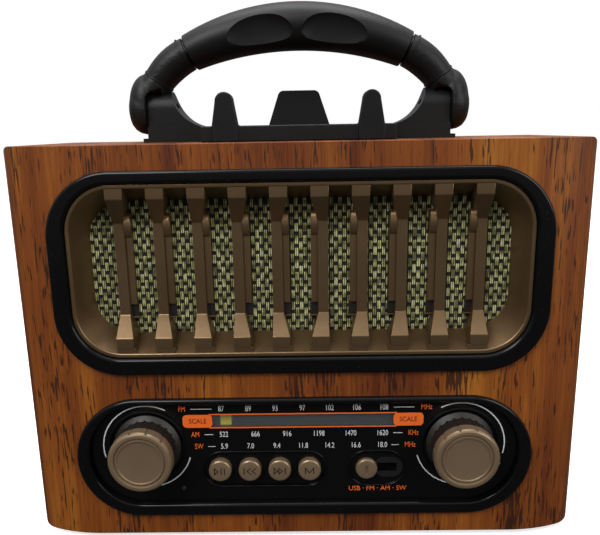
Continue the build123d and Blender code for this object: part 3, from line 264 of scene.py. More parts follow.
MATERIALS = {
    "wood_veneer": wood_finish(),
    "black_gloss": gloss_finish("black_gloss_plastic", (0.003, 0.003, 0.0035)),
    "black_satin": moulded_finish("black_satin_plastic", (0.006, 0.006, 0.0065), rough=0.42),
    "bronze": bronze_finish("bronze_lacquer", (0.185, 0.118, 0.060), 0.30, 0.8),
    "dark_plastic": moulded_finish("dark_brown_plastic", (0.010, 0.006, 0.004)),
    "cloth": plain_finish("speaker_cloth_base", (0.006, 0.006, 0.005), 0.9),
    "rubber": moulded_finish("foot_rubber", (0.015, 0.015, 0.015), 1200.0, 0.8),
    "steel": metal_finish("zinc_steel", (0.62, 0.61, 0.58), 0.3),
    "chrome": metal_finish("aerial_chrome", (0.82, 0.82, 0.83), 0.08, 0.1),
    "brass": metal_finish("turned_brass", (0.78, 0.58, 0.28), 0.25),
    "painted": plain_finish("basket_paint", (0.02, 0.02, 0.022), 0.4),
    "magnet": plain_finish("ferrite_grey", (0.05, 0.05, 0.052), 0.6),
    "cone": plain_finish("cone_pulp", (0.03, 0.03, 0.03), 0.9, 3000.0),
    "lens": plain_finish("dial_lens", (0.25, 0.26, 0.27), 0.12, Alpha=0.12),
    "pointer": plain_finish("pointer_yellow", (0.62, 0.52, 0.01), 0.4),
    "board": plain_finish("board_green", (0.01, 0.10, 0.03), 0.4),
    "ivory": plain_finish("ivory_nylon", (0.75, 0.72, 0.6), 0.5),
    "cell": plain_finish("cell_sleeve", (0.03, 0.10, 0.32), 0.35),
    "cord": plain_finish("dial_cord_yarn", (0.45, 0.43, 0.35), 0.9, 4000.0),
}


def weave_finish():
    """Cream and green threads; the ramp's pale end is a painted highlight for their crowns, laid at random by
    noise.
    """
    m = Finish("speaker_weave_yarn")
    each = m.noise(1.0, 0.0, place=m.stretch((540, 1, 330)))
    strand = m.noise(1.0, 2.0, place=m.stretch((5200, 5200, 900)))
    # painted highlight: the ramp's palest stop stands for light on the thread crowns
    tone = m.ramp(each, (0.34, (0.13, 0.125, 0.03)), (0.48, (0.36, 0.35, 0.10)), (0.64, (0.72, 0.70, 0.36)))
    tone = m.mix(strand * 0.5, tone, (0.10, 0.095, 0.04))
    m.set(Base_Color=tone, Roughness=0.85, Sheen_Weight=0.3)
    return m.set(Normal=m.bump(strand, YARN_BUMP, 0.8)).material


def print_finish(name, colour):
    """Screen-printed ink: nearly even, with the faint mottle of a thin film."""
    m = Finish(name)
    mottle = m.noise(700.0, 2.0)
    m.set(Base_Color=m.mix(mottle * 0.4, colour, [0.8 * c for c in colour]), Roughness=0.45)
    return m.material


MATERIALS.update({
    "print_white": print_finish("print_white", (0.62, 0.63, 0.62)),
    "print_orange": print_finish("print_orange", (0.78, 0.13, 0.015)),
    "print_dark": print_finish("print_dark", (0.05, 0.012, 0.004)),
    "backing": print_finish("backing_card", (0.030, 0.030, 0.034)),
    "lamp": print_finish("lamp_lens", (0.02, 0.02, 0.022)),
})
CAP_FINISH = bronze_finish("knob_lacquer", (0.225, 0.155, 0.092), 0.34, 0.5)
# Painted shade: a near-black finish for the dark rib recesses and the button grooves.
PAINTED_SHADE_FINISH = print_finish("groove_shadow", (0.010, 0.007, 0.005))


def rubbed_black(name, pits, depth):
    """Black moulded plastic with a grain; pits is the grain's scale."""
    m = Finish(name)
    grain = m.noise(pits, 2.0, 0.55)
    smear = m.noise(24.0, 3.0)
    tone = m.mix(smear, (0.0025, 0.0025, 0.0025), (0.006, 0.006, 0.006))
    m.set(Base_Color=tone, Roughness=0.38 + smear * 0.14, Specular_IOR_Level=0.26)
    return m.set(Normal=m.bump(grain, depth, 0.8)).material


GRIP_FINISH = rubbed_black("black_satin_plastic_grip", 2400.0, FINE_BUMP)
CRADLE_FINISH = rubbed_black("spark_grained_plastic", 1500.0, 0.00007)
SLEEVE_FINISH = rubbed_black("pitted_sleeve_plastic", 750.0, 0.00022)


# ---------------- modelling tools
FACING_FRONT = (math.pi / 2, 0, 0)
FACING_SIDE = (0, math.pi / 2, 0)
CORNER_MERGE = 0.05      # mm; rounded corners that meet leave edges shorter than this
SAME_PLANE = 1e-5        # metres
DENSE = 60000            # faces; above this a piece keeps its own normals


def only(piece):
    """Selects one piece and nothing else."""
    bpy.ops.object.select_all(action="DESELECT")
    piece.select_set(True)
    bpy.context.view_layer.objects.active = piece


def settle(piece, name=None):
    """Puts a new object's place, turn and scale into its mesh."""
    if name:
        piece.name = name
    only(piece)
    bpy.ops.object.transform_apply(location=True, rotation=True, scale=True)
    return piece


def edit(piece, kind="FACE"):
    """Opens a piece in edit mode with nothing selected."""
    only(piece)
    bpy.ops.object.mode_set(mode="EDIT")
    bpy.ops.mesh.select_mode(type=kind)
    bpy.ops.mesh.select_all(action="DESELECT")


def edit_all(piece, kind="FACE"):
    """Opens a piece in edit mode with all of it selected."""
    edit(piece, kind)
    bpy.ops.mesh.select_all(action="SELECT")


def done():
    bpy.ops.object.mode_set(mode="OBJECT")


def draw(step):
    """Edit mode: extrudes the selection by a step in metres."""
    bpy.ops.mesh.extrude_region_move(TRANSFORM_OT_translate={"value": step})


def swell(ratio, centre):
    """Edit mode: scales the selection evenly about a point."""
    bpy.ops.transform.resize(value=(ratio, ratio, ratio), center_override=centre)


def pick(piece, test, kind="FACE"):
    """Edit mode: selects the faces, edges or corners that pass the test."""
    bpy.ops.mesh.select_mode(type=kind)
    bpy.ops.mesh.select_all(action="DESELECT")
    shape = bmesh.from_edit_mesh(piece.data)
    items = {"FACE": shape.faces, "EDGE": shape.edges, "VERT": shape.verts}[kind]
    for item in items:
        if test(item):
            item.select_set(True)
    shape.select_flush_mode()
    bmesh.update_edit_mesh(piece.data)


def face_outwards(piece):
    """Turns every face's normal outwards."""
    edit_all(piece)
    bpy.ops.mesh.normals_make_consistent(inside=False)
    done()
    return piece


def modify(piece, kind, **settings):
    """Adds one modifier and applies it."""
    only(piece)
    modifier = piece.modifiers.new(kind.lower(), kind)
    for key, value in settings.items():
        setattr(modifier, key, value)
    bpy.ops.object.modifier_apply(modifier=modifier.name)
    return piece


def soften(piece, width, segments, angle=35):
    """Rounds every edge sharper than the angle; width in mm."""
    settings = {"width": width * MM, "segments": segments, "limit_method": "ANGLE"}
    return modify(piece, "BEVEL", angle_limit=math.radians(angle), use_clamp_overlap=True, **settings)


def cut(piece, *tools, how="DIFFERENCE"):
    """Cuts pieces away from a piece, or welds them on with how="UNION"."""
    for tool in tools:
        modify(piece, "BOOLEAN", operation=how, object=tool, solver="EXACT")
        bpy.data.objects.remove(tool)
    return piece


def repeat(piece, count, step):
    """Repeats a piece in a row; step in mm."""
    settings = {"use_relative_offset": False, "use_constant_offset": True}
    modify(piece, "ARRAY", count=count, constant_offset_displace=Vector(step) * MM, **settings)


def joined(name, pieces):
    """Joins pieces into the first of them."""
    bpy.ops.object.select_all(action="DESELECT")
    for piece in pieces:
        piece.select_set(True)
    bpy.context.view_layer.objects.active = pieces[0]
    bpy.ops.object.join()
    pieces[0].name = name
    return pieces[0]


def duplicate(piece):
    """A copy with its own mesh."""
    only(piece)
    bpy.ops.object.duplicate(linked=False)
    return bpy.context.object


def copied(piece, shift):
    """A copy moved by shift, in mm."""
    copy = duplicate(piece)
    bpy.ops.transform.translate(value=Vector(shift) * MM)
    return settle(copy)


def mirrored(piece):
    """A copy on the other side of the radio's middle plane."""
    copy = duplicate(piece)
    copy.scale.x = -1
    return face_outwards(settle(copy))


def block(x, y, z, name="block"):
    """A box between two values on each axis."""
    middle = at(*[(a + b) / 2 for a, b in (x, y, z)])
    size = [abs(b - a) * MM for a, b in (x, y, z)]
    bpy.ops.mesh.primitive_cube_add(size=1, location=middle, scale=size)
    return settle(bpy.context.object, name)


def round_corners(piece, radius, segments):
    """Rounds a flat face's corners before it is drawn out."""
    edit_all(piece, "VERT")
    bpy.ops.mesh.bevel(offset=radius * MM, segments=segments, affect="VERTICES")
    bpy.ops.mesh.select_all(action="SELECT")
    bpy.ops.mesh.remove_doubles(threshold=CORNER_MERGE * MM)
    done()


def draw_out(piece, shift):
    """Draws a flat face out to a solid."""
    edit_all(piece)
    draw(Vector(shift) * MM)
    done()
    return face_outwards(piece)


def flat_face(size, middle, y, name):
    """A rectangle facing the front, in the plane y."""
    place = at(middle[0], y, middle[1])
    bpy.ops.mesh.primitive_plane_add(size=1, rotation=FACING_FRONT, location=place)
    piece = bpy.context.object
    piece.scale = (size[0] * MM, size[1] * MM, 1)
    return settle(piece, name)


def plate(size, radius, middle, depth, segments, name="plate"):
    """A plate facing the front with rounded corners; depth is its first and last y."""
    piece = flat_face(size, middle, depth[0], name)
    if radius:
        round_corners(piece, min(radius, min(size) / 2 - 0.01), segments)
    return draw_out(piece, (0, depth[1] - depth[0], 0))


def drawn_circle(profile, centre, axis, sides, name, fill="NGON"):
    """Draws a circle through a profile of (radius, place along the axis) and leaves it in edit mode."""
    turn, way = {"Y": (FACING_FRONT, Vector((0, 1, 0))), "X": (FACING_SIDE, Vector((1, 0, 0)))}[axis]
    middle = at(*centre)
    radius, start = profile[0]
    bpy.ops.mesh.primitive_circle_add(
        vertices=sides, radius=radius * MM, rotation=turn, location=middle + way * start * MM, fill_type=fill)
    piece = settle(bpy.context.object, name)
    edit_all(piece, "FACE" if fill == "NGON" else "EDGE")
    for (r0, d0), (r1, d1) in zip(profile, profile[1:]):
        draw(way * (d1 - d0) * MM)
        swell(r1 / r0, middle + way * d1 * MM)
    return piece


def turned(profile, centre, axis="Y", sides=64, name="turned"):
    """A solid of revolution: profile is (radius, place along the axis) from one end to the other."""
    piece = drawn_circle(profile, centre, axis, sides, name)
    done()
    return face_outwards(piece)


def turned_ring(profile, centre, name="ring"):
    """A ring of revolution about Y: profile is (radius, place) round the ring's section."""
    piece = drawn_circle(profile + [profile[0]], centre, "Y", 96, name, "NOTHING")
    bpy.ops.mesh.select_all(action="SELECT")
    bpy.ops.mesh.remove_doubles(threshold=1e-7)
    done()
    return face_outwards(piece)


def ball(centre, radii, sides, tilt=0):
    """An ellipsoid; tilt is in degrees about the front's normal."""
    bpy.ops.mesh.primitive_uv_sphere_add(segments=sides, ring_count=sides // 2, radius=1, location=at(*centre))
    piece = bpy.context.object
    piece.scale = Vector(radii) * MM
    piece.rotation_euler = (0, math.radians(tilt), 0)
    return settle(piece, "ball")


def round_front(piece, y, width, segments):
    """Rounds the sharp edges that lie in the plane y."""
    level = at(0, y, 0).y
    edit(piece)

    def is_sharp(e):
        return all(abs(v.co.y - level) < SAME_PLANE for v in e.verts) and e.calc_face_angle(0) > 0.5

    pick(piece, is_sharp, "EDGE")
    bpy.ops.mesh.bevel(offset=width * MM, segments=segments, affect="EDGES")
    done()
    return piece


def ring_plate(size, radius, width, middle, depth, segments, name="ring"):
    """A rounded frame facing the front: width is one value, or those of its sides and foot, and its top."""
    sides, top = width if isinstance(width, tuple) else (width, width)
    piece = flat_face(size, middle, depth[0], name)
    round_corners(piece, min(radius, min(size) / 2 - 0.02), segments)
    edit_all(piece)
    bpy.ops.mesh.inset(thickness=sides * MM, use_even_offset=True)
    if top != sides:
        old = size[1] - 2 * sides
        floor = at(0, depth[0], middle[1] - old / 2)
        bpy.ops.transform.resize(value=(1, 1, 1 + (sides - top) / old), center_override=floor)
    bpy.ops.mesh.delete(type="FACE")
    done()
    return draw_out(piece, (0, depth[1] - depth[0], 0))


def swept(sections, y, deep, sides, name):
    """A tube in a plane of constant y; each section is (x, z, heading in degrees, height).

    deep is each section's depth over its height.
    """
    x, z, heading, height = sections[0]
    bpy.ops.mesh.primitive_circle_add(vertices=sides, radius=0.5, fill_type="NGON", location=at(x, y, z))
    piece = bpy.context.object
    piece.rotation_euler = (0, math.pi / 2 - math.radians(heading), 0)
    piece.scale = (height * MM, height * deep * MM, 1)
    settle(piece, name)
    edit_all(piece)
    for before, after in zip(sections, sections[1:]):
        step = at(after[0], y, after[1]) - at(before[0], y, before[1])
        centre = at(after[0], y, after[1])
        draw(step)
        turn = math.radians(after[2] - before[2])
        if turn:
            bpy.ops.transform.rotate(value=turn, orient_axis="Y", center_override=centre)
        swell(after[3] / before[3], centre)
    done()
    return face_outwards(piece)


def refined(node, width, segments):
    """A copy of a CAD node with its loose triangles merged, flat faces made whole and edges rounded."""
    copy = duplicate(frame["nodes"][node])
    for key in [key for key in copy.keys() if key.startswith("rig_")]:
        del copy[key]
    copy.name = node + "_shell"
    edit_all(copy)
    bpy.ops.mesh.remove_doubles(threshold=1e-6)
    bpy.ops.mesh.dissolve_limited(angle_limit=math.radians(1.0))
    done()
    if width:
        soften(copy, width, segments)
    return copy


def fit(piece, name, body, slot, *nodes, finish=None, angle=35):
    """Names a finished piece, shades it, gives it its finish and puts it on its body."""
    only(piece)
    bpy.ops.object.shade_smooth_by_angle(angle=math.radians(angle))
    if len(piece.data.polygons) < DENSE:
        modify(piece, "WEIGHTED_NORMAL", keep_sharp=True)
    piece.name = name
    piece.data.materials.clear()
    piece.data.materials.append(finish or MATERIALS[slot])
    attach(piece, body)
    if nodes:
        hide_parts(*nodes)
    return piece


# ---------------- speaker side
SPK_SIZE = (184.6, 77.1)
SPK_CORNER = 24.5
SPK_RING = 6.6
SPK_RING_TOP = 4.6
SPK_Z = 107.35
GRILLE_SIZE = (171.4, 65.9)
GRILLE_Z = 108.35
RIM = 1.2
RIM_Y = -0.6
COLLAR_IN = 2.2          # how far each bezel's collar stands inside its ring
CLOTH_Y = 10.3
CLOTH_T = 1.0
OPENING = (159.0, 51.5)   # the cloth that shows
BAR_PITCH = 14.8
BARS_A_SIDE = 5
BAR_WIDE = 6.6
BAR_SLIM = 4.1
BAR_SINK = 7.0
BAR_FOOT = 3.6
RIB_W = 2.8
FIRST_BAR = -(BARS_A_SIDE - 0.5) * BAR_PITCH - BAR_WIDE / 2
FIRST_RIB = FIRST_BAR + BAR_SLIM - 0.2
CLOTH_CORNER = 17.0
THREAD_COLUMN = 1.66
THREAD_REPEAT = 4.75


def bezel(name, size, corner, width, middle_z, edge, depth, segments):
    """A black frame: the ring that stands proud, and the collar that goes into the cabinet to depth."""
    ring = ring_plate(size, corner, width, (0, middle_z), (-2, 0.02), segments)
    round_front(ring, -2, edge, 6)
    fit(ring, name + "_ring", "cabinet", "black_gloss", name)
    inner = [side - 2 * COLLAR_IN for side in size]
    width = tuple(side - COLLAR_IN for side in width)
    collar = ring_plate(inner, corner - COLLAR_IN, width, (0, middle_z), (0.02, depth), segments)
    fit(collar, name + "_collar", "cabinet", "black_gloss")


def grille_frame():
    """The bronze frame, whose walls slope in to the cloth."""
    size = [side - 0.4 for side in GRILLE_SIZE]
    corner = SPK_CORNER - SPK_RING - 0.2
    frame_plate = plate(size, corner, (0, GRILLE_Z), (RIM_Y, CLOTH_Y), 24)
    wide = [side - 2 * RIM for side in size]
    funnel = plate(wide, corner - RIM, (0, GRILLE_Z), (RIM_Y - 0.5, CLOTH_Y + 0.2), 24, "funnel")
    edit(funnel)
    back = at(0, CLOTH_Y + 0.2, 0).y
    pick(funnel, lambda face: all(abs(v.co.y - back) < SAME_PLANE for v in face.verts))
    shrink = (OPENING[0] / wide[0], 1, OPENING[1] / wide[1])
    bpy.ops.transform.resize(value=shrink, center_override=at(0, CLOTH_Y, GRILLE_Z))
    done()
    cut(frame_plate, funnel)
    round_front(frame_plate, RIM_Y, 0.35, 3)
    fit(frame_plate, "grille_frame", "cabinet", "bronze", "speaker_grille")


def grille_bar(outer):
    """The bar whose outer edge is at x = outer, left of the middle."""
    low = GRILLE_Z - GRILLE_SIZE[1] / 2 + BAR_FOOT
    top = GRILLE_Z + GRILLE_SIZE[1] / 2 - RIM
    bar = block((outer, outer + BAR_WIDE), (-0.4, CLOTH_Y - 0.1), (low, top), "bar")
    levels = (low + 4.2, low + 11.4, top - 14.1, top - 4.5)
    for level in levels:
        edit_all(bar)
        bpy.ops.mesh.bisect(plane_co=at(0, 0, level), plane_no=(0, 0, 1))
        done()
    middle_z = [at(0, 0, level).z for level in levels[1:3]]

    def is_middle(v):
        return min(abs(v.co.z - z) for z in middle_z) < SAME_PLANE

    edit(bar)
    front = at(0, -0.4, 0).y
    pick(bar, lambda v: is_middle(v) and abs(v.co.y - front) < SAME_PLANE, "VERT")
    bpy.ops.transform.translate(value=(0, (BAR_SINK + 0.4) * MM, 0))
    inner = at(outer + BAR_WIDE, 0, 0).x
    pick(bar, lambda v: is_middle(v) and abs(v.co.x - inner) < SAME_PLANE, "VERT")
    bpy.ops.transform.translate(value=((BAR_SLIM - BAR_WIDE) * MM, 0, 0))
    done()
    soften(bar, 0.28, 2, 20)
    step = block((outer, outer + BAR_WIDE + 0.8), (-0.2, 4), (low - 2.6, low + 0.3), "step")
    soften(step, 0.25, 2)
    return joined("bar", [bar, step])


def grille_rib(near):
    """The low rib on the inner side of a bar: its top end is rounded and scooped, its foot stands free."""
    middle_x = near + RIB_W / 2
    front = BAR_SINK + 0.9
    rib = plate((RIB_W, 35.0), 0, (middle_x, GRILLE_Z + 3.4), (front, CLOTH_Y - 0.1), 6, "rib")
    round_front(rib, front, 0.35, 3)
    crown_z = GRILLE_Z + 16.5
    profile = [(0.4, -RIB_W / 2), (2.2, -RIB_W / 2), (2.5, -RIB_W / 2 + 0.3), (2.5, RIB_W / 2 - 0.3)]
    profile += [(2.2, RIB_W / 2), (0.4, RIB_W / 2)]
    crown = turned(profile, (middle_x, front + 0.9, crown_z), "X", 40, "crown")
    edit_all(crown)
    bpy.ops.transform.resize(value=(1, 1, 1.9), center_override=at(middle_x, front + 0.9, crown_z))
    done()
    across = (near - 0.6, near + RIB_W + 0.6)
    foot = block(across, (CLOTH_Y - 1.6, CLOTH_Y - 0.1), (GRILLE_Z - 19.8, GRILLE_Z - 19.2), "foot")
    soften(foot, 0.2, 2)
    return joined("rib", [rib, crown, foot])


def repeated_bars(first):
    """Repeats the leftmost bar's piece along the left half and mirrors it to the right."""
    repeat(first, BARS_A_SIDE, (BAR_PITCH, 0, 0))
    modify(first, "MIRROR", use_mirror_merge=False)


def grille_bars():
    """The ten bars with their ribs."""
    first = joined("grille_bars", [grille_bar(FIRST_BAR), grille_rib(FIRST_RIB)])
    repeated_bars(first)
    fit(first, "grille_bars", "cabinet", "bronze", "speaker_grille")


def rib_shade_plates():
    """Dark plates under the ribs: painted shade for the deep recesses there."""
    low = GRILLE_Z - 19.0
    across = (FIRST_RIB - 0.1, FIRST_RIB + RIB_W + 0.2)
    shade_plate = block(across, (CLOTH_Y - 0.9, CLOTH_Y - 0.1), (low, low + 5.0), "shade_plate")
    soften(shade_plate, 0.15, 2)
    repeated_bars(shade_plate)
    # painted shade: near-black plates where the recesses under the ribs fall dark
    fit(shade_plate, "rib_shade_plates", "cabinet", "dark_plastic", finish=PAINTED_SHADE_FINISH)


def speaker_cloth():
    """The black backing cloth and the paired cream threads woven over it."""
    size = (OPENING[0] + 6, OPENING[1] + 6)
    cloth = plate(size, CLOTH_CORNER, (0, GRILLE_Z), (CLOTH_Y, CLOTH_Y + CLOTH_T), 12, "cloth")
    fit(cloth, "speaker_cloth_backing", "cabinet", "cloth", "speaker_cloth")
    left = -OPENING[0] / 2 - 0.5
    low = GRILLE_Z - OPENING[1] / 2 - 1.5
    thread = block((left, left + 0.52), (CLOTH_Y - 0.42, CLOTH_Y + 0.1), (low, low + 3.3), "thread")
    soften(thread, 0.18, 1)
    pair = [thread, copied(thread, (0.72, 0, 0))]
    staggered = [copied(piece, (THREAD_COLUMN, 0, THREAD_REPEAT / 2)) for piece in pair]
    weave = joined("speaker_weave", pair + staggered)
    repeat(weave, 49, (2 * THREAD_COLUMN, 0, 0))
    repeat(weave, 11, (0, 0, THREAD_REPEAT))
    fit(weave, "speaker_weave", "cabinet", "cloth", "speaker_cloth", finish=weave_finish(), angle=80)


# ---------------- control side
CTL_SIZE = (178.0, 50.0)
CTL_CORNER = 25.0
CTL_RING = 5.2
CTL_RING_TOP = 2.6
CTL_Z = 33.8
PLATE_Y = 0.6
PRINT_T = 0.05
NUMBER_H = 2.35
LABEL_H = 2.3
KNOB_X = 61.4
KNOB_Z = 38.0
KNOB_R = 12.25
KNOB_FACE_Y = -12.0
WELL_R = 14.5
NOTCHES = 12
FLUTE_R = 11.75
WINDOW_Z = 48.7
BUTTON_Z = 28.0
BUTTON_R = 4.5
BUTTON_XS = (-33.0, -21.2, -9.4, 2.4)
BUTTON_FACE_Y = PLATE_Y - 2.0
TRAYS = ((-39.5, 8.9), (18.0, 39.7))
TRAY_H = 14.4
SLIDER_X = 24.9
SLIDER_FACE_Y = PLATE_Y - 1.6
ARC_R = 17.3             # the printed arcs round the knobs
WORD_R = 17.4            # the words round the knobs
FM_Z = 53.8              # the rows of numbers
AM_Z = 43.0
SW_Z = 37.9
SCALE_X = 41.1           # the orange ends of the scale
SCALE_HALF_H = 2.7


def raised_rims():
    """The fine raised rims round the knob wells, the button tray and the switch recess."""
    rims = []
    for side in (-1, 1):
        section = ((0, 0.4), (0, -0.25), (0.35, -0.45), (0.9, -0.25), (1.1, 0.4))
        profile = [(WELL_R + out, y) for out, y in section]
        rims.append(turned_ring(profile, (side * KNOB_X, PLATE_Y, KNOB_Z), "well_rim"))
    for x0, x1 in TRAYS:
        size = (x1 - x0, TRAY_H)
        middle = ((x0 + x1) / 2, BUTTON_Z)
        outer = [side + 1.3 for side in size]
        rim = ring_plate(outer, 8, 0.65, middle, (PLATE_Y - 0.4, PLATE_Y + 0.5), 14, "tray_rim")
        rims.append(round_front(rim, PLATE_Y - 0.4, 0.28, 3))
    fit(joined("dial_rims", rims), "dial_rims", "cabinet", "black_gloss")


def lettering(words, height, middle, turn=0.0, width=0.72, y=None):
    """Flat printed characters; turn is in degrees about the front's normal."""
    level = PLATE_Y if y is None else y
    spin = (math.pi / 2, -math.radians(turn), 0)
    bpy.ops.object.text_add(location=at(middle[0], level - PRINT_T, middle[1]), rotation=spin)
    label = bpy.context.object
    label.data.body = words
    label.data.align_x = "CENTER"
    label.data.align_y = "CENTER"
    label.data.size = height * MM * 1.38
    label.data.extrude = PRINT_T * MM / 2
    label.data.resolution_u = 3
    label.scale.x = width
    only(label)
    bpy.ops.object.convert(target="MESH")
    return settle(label)


def printed_arc(centre, first, last, width=0.45):
    """A printed arc; angles in degrees clockwise from the top as seen from the front."""
    steps = max(8, int(abs(last - first) / 4))
    bpy.ops.mesh.primitive_plane_add(size=1, location=(0, 0, ARC_R * MM))
    band = bpy.context.object
    band.rotation_euler = FACING_SIDE
    band.scale = (width * MM, PRINT_T * MM, 1)
    settle(band, "arc")
    edit_all(band)
    bpy.ops.mesh.spin(steps=steps, angle=math.radians(first - last), center=(0, 0, 0), axis=(0, 1, 0))
    done()
    band.rotation_euler = (0, math.radians(first), 0)
    band.location = at(centre[0], PLATE_Y - PRINT_T / 2, centre[1])
    settle(band)
    return face_outwards(band)


def printed_line(x0, x1, z, width=0.22):
    return block((x0, x1), (PLATE_Y - PRINT_T, PLATE_Y), (z - width / 2, z + width / 2), "line")


def scale_row(values, first, last, z):
    """Numbers evenly spaced from x = first to x = last."""
    step = (last - first) / (len(values) - 1)
    return [lettering(value, NUMBER_H, (first + i * step, z)) for i, value in enumerate(values)]


def dial_numbers():
    """The white print: numbers, the lines beside them and the arcs round the knobs."""
    rows = scale_row(("87", "89", "93", "97", "102", "106", "108"), -31.7, 31.5, FM_Z)
    rows += scale_row(("522", "666", "916", "1198", "1470", "1620"), -31.0, 31.0, AM_Z)
    rows += scale_row(("5.9", "7.0", "9.4", "11.8", "14.2", "16.6", "18.0"), -31.0, 31.0, SW_Z)
    lines = [(-43.6, -35.3, FM_Z), (35.3, 43.3, FM_Z), (-38.6, -35.2, AM_Z), (35.2, 38.8, AM_Z)]
    lines += [(-37.4, -34.6, SW_Z), (34.6, 37.6, SW_Z)]
    rows += [printed_line(*line) for line in lines]
    for side in (-1, 1):
        centre = (side * KNOB_X, KNOB_Z)
        arcs = ((27, -104), (106, 166)) if side < 0 else ((-27, 104), (-106, -166))
        rows += [printed_arc(centre, *arc) for arc in arcs]
    fit(joined("dial_numbers", rows), "dial_numbers", "cabinet", "print_white")


def curved_word(word, centre, middle_angle):
    """Letters set round a knob; the angle is clockwise from the top, the word reads along the arc."""
    spread = 6.6
    letters = []
    for i, letter in enumerate(word):
        angle = middle_angle - (i - (len(word) - 1) / 2) * spread
        turn = math.radians(angle)
        place = (centre[0] + WORD_R * math.sin(turn), centre[1] + WORD_R * math.cos(turn))
        letters.append(lettering(letter, LABEL_H, place, turn=180 - angle))
    return letters


def scale_frame():
    """The orange end blocks of the scale and the lines that join them."""
    depth = (PLATE_Y - PRINT_T, PLATE_Y + 0.02)
    parts = []
    for side in (-1, 1):
        middle = (side * SCALE_X, WINDOW_Z)
        parts.append(plate((11.6, 2 * SCALE_HALF_H), 1.6, middle, depth, 8, "scale_end"))
    for z in (WINDOW_Z - SCALE_HALF_H - 0.1, WINDOW_Z + SCALE_HALF_H + 0.1):
        parts.append(printed_line(-36.5, 36.5, z, 0.5))
    return parts


def dial_labels():
    """The orange print, and the dark words on the ends of the scale."""
    parts = scale_frame()
    labels = (("FM", -47.0, FM_Z), ("MHz", 48.0, FM_Z), ("AM", -42.2, AM_Z), ("KHz", 43.1, AM_Z))
    labels += (("SW", -41.0, SW_Z), ("MHz", 41.9, SW_Z))
    parts += [lettering(word, LABEL_H, (x, z)) for word, x, z in labels]
    parts.append(lettering("USB · FM · AM · SW", 2.1, (29.3, 19.0), width=0.95))
    parts += curved_word("VOLUME", (-KNOB_X, KNOB_Z), -136)
    parts += curved_word("TUNING", (KNOB_X, KNOB_Z), 136)
    fit(joined("dial_labels", parts), "dial_labels", "cabinet", "print_orange")
    words = []
    for side in (-1, 1):
        words.append(lettering("SCALE", 2.1, (side * 41.0, WINDOW_Z), width=0.85, y=PLATE_Y - PRINT_T))
    fit(joined("scale_words", words), "scale_words", "cabinet", "print_dark")


def round_tools(centre, radius, count, first, profile, sides):
    """Round cutting tools evenly spaced about a knob's axis; first is the first one's place in steps."""
    tools = []
    for k in range(count):
        turn = math.radians(360 / count * (k + first))
        place = (centre[0] + radius * math.cos(turn), centre[1], centre[2] + radius * math.sin(turn))
        tools.append(turned(profile, place, sides=sides))
    return joined("tools", tools)


def knob_cap(side, body):
    """The bronze cap, dished and ribbed at its face, with notches round its edge."""
    node = body + "_cap"
    centre = (side * KNOB_X, KNOB_FACE_Y, KNOB_Z)
    profile = [(0.6, 0.75), (5.0, 0.72), (8.2, 0.62), (8.55, 0.5), (8.75, 0.2), (9.15, 0.2), (9.35, 0.62)]
    profile += [(9.75, 0.62), (9.95, 0.15), (10.3, 0.0), (11.3, 0.05), (11.85, 0.35), (12.2, 0.95), (KNOB_R, 1.5)]
    profile += [(KNOB_R, 4.4), (12.0, 4.9), (4.0, 4.9), (4.0, 5.0), (0.6, 5.0)]
    cap = turned(profile, centre, sides=144, name="knob_cap")
    cut(cap, round_tools(centre, KNOB_R + 0.15, NOTCHES, 0.5, [(0.62, -1.0), (0.62, 6.0)], 14))
    fit(cap, node, body, "bronze", node, finish=CAP_FINISH, angle=25)


def knob_skirt(side, body):
    """The dark fluted skirt behind the cap, flared at its foot."""
    node = body + "_skirt"
    centre = (side * KNOB_X, 0, KNOB_Z)
    profile = [(11.5, KNOB_FACE_Y + 5.02), (11.5, PLATE_Y - 1.4), (13.2, PLATE_Y + 0.2), (13.2, PLATE_Y + 0.6)]
    skirt = turned(profile, centre, sides=96, name="skirt")
    flute = [(0.55, KNOB_FACE_Y + 4.6), (0.55, PLATE_Y - 1.1)]
    cut(skirt, round_tools(centre, FLUTE_R, 2 * NOTCHES, 0, flute, 10))
    fit(skirt, node, body, "dark_plastic", node, angle=25)


def stroke(start, end, width, depth):
    """A straight engraving stroke between two places on the front."""
    dx = end[0] - start[0]
    dz = end[1] - start[1]
    length = math.hypot(dx, dz) + width
    middle = at((start[0] + end[0]) / 2, sum(depth) / 2, (start[1] + end[1]) / 2)
    bpy.ops.mesh.primitive_cube_add(size=1, location=middle, rotation=(0, -math.atan2(dz, dx), 0))
    tool = bpy.context.object
    tool.scale = (length * MM, (depth[1] - depth[0]) * MM, width * MM)
    return settle(tool, "stroke")


def symbol_strokes(name):
    """The strokes of each button's symbol, in mm from the button's middle."""
    right = [((-0.1, 1.2), (1.3, 0)), ((1.3, 0), (-0.1, -1.2)), ((-0.1, -1.2), (-0.1, 1.2))]

    def shifted(lines, dx, flip=1):
        return [((flip * a[0] + dx, a[1]), (flip * b[0] + dx, b[1])) for a, b in lines]

    def bars(*xs):
        return [((x, -1.2), (x, 1.2)) for x in xs]

    return {
        "play": shifted(right, -2.0) + bars(0.5, 1.8),
        "back": bars(-2.2) + shifted(right[:2], 0.2, -1) + shifted(right[:2], 2.2, -1),
        "next": shifted(right, -2.1) + shifted(right, -0.2) + bars(2.2),
        "mode": bars(-1.6, 1.6) + [((-1.6, 1.2), (0, -0.9)), ((0, -0.9), (1.6, 1.2))],
    }[name]


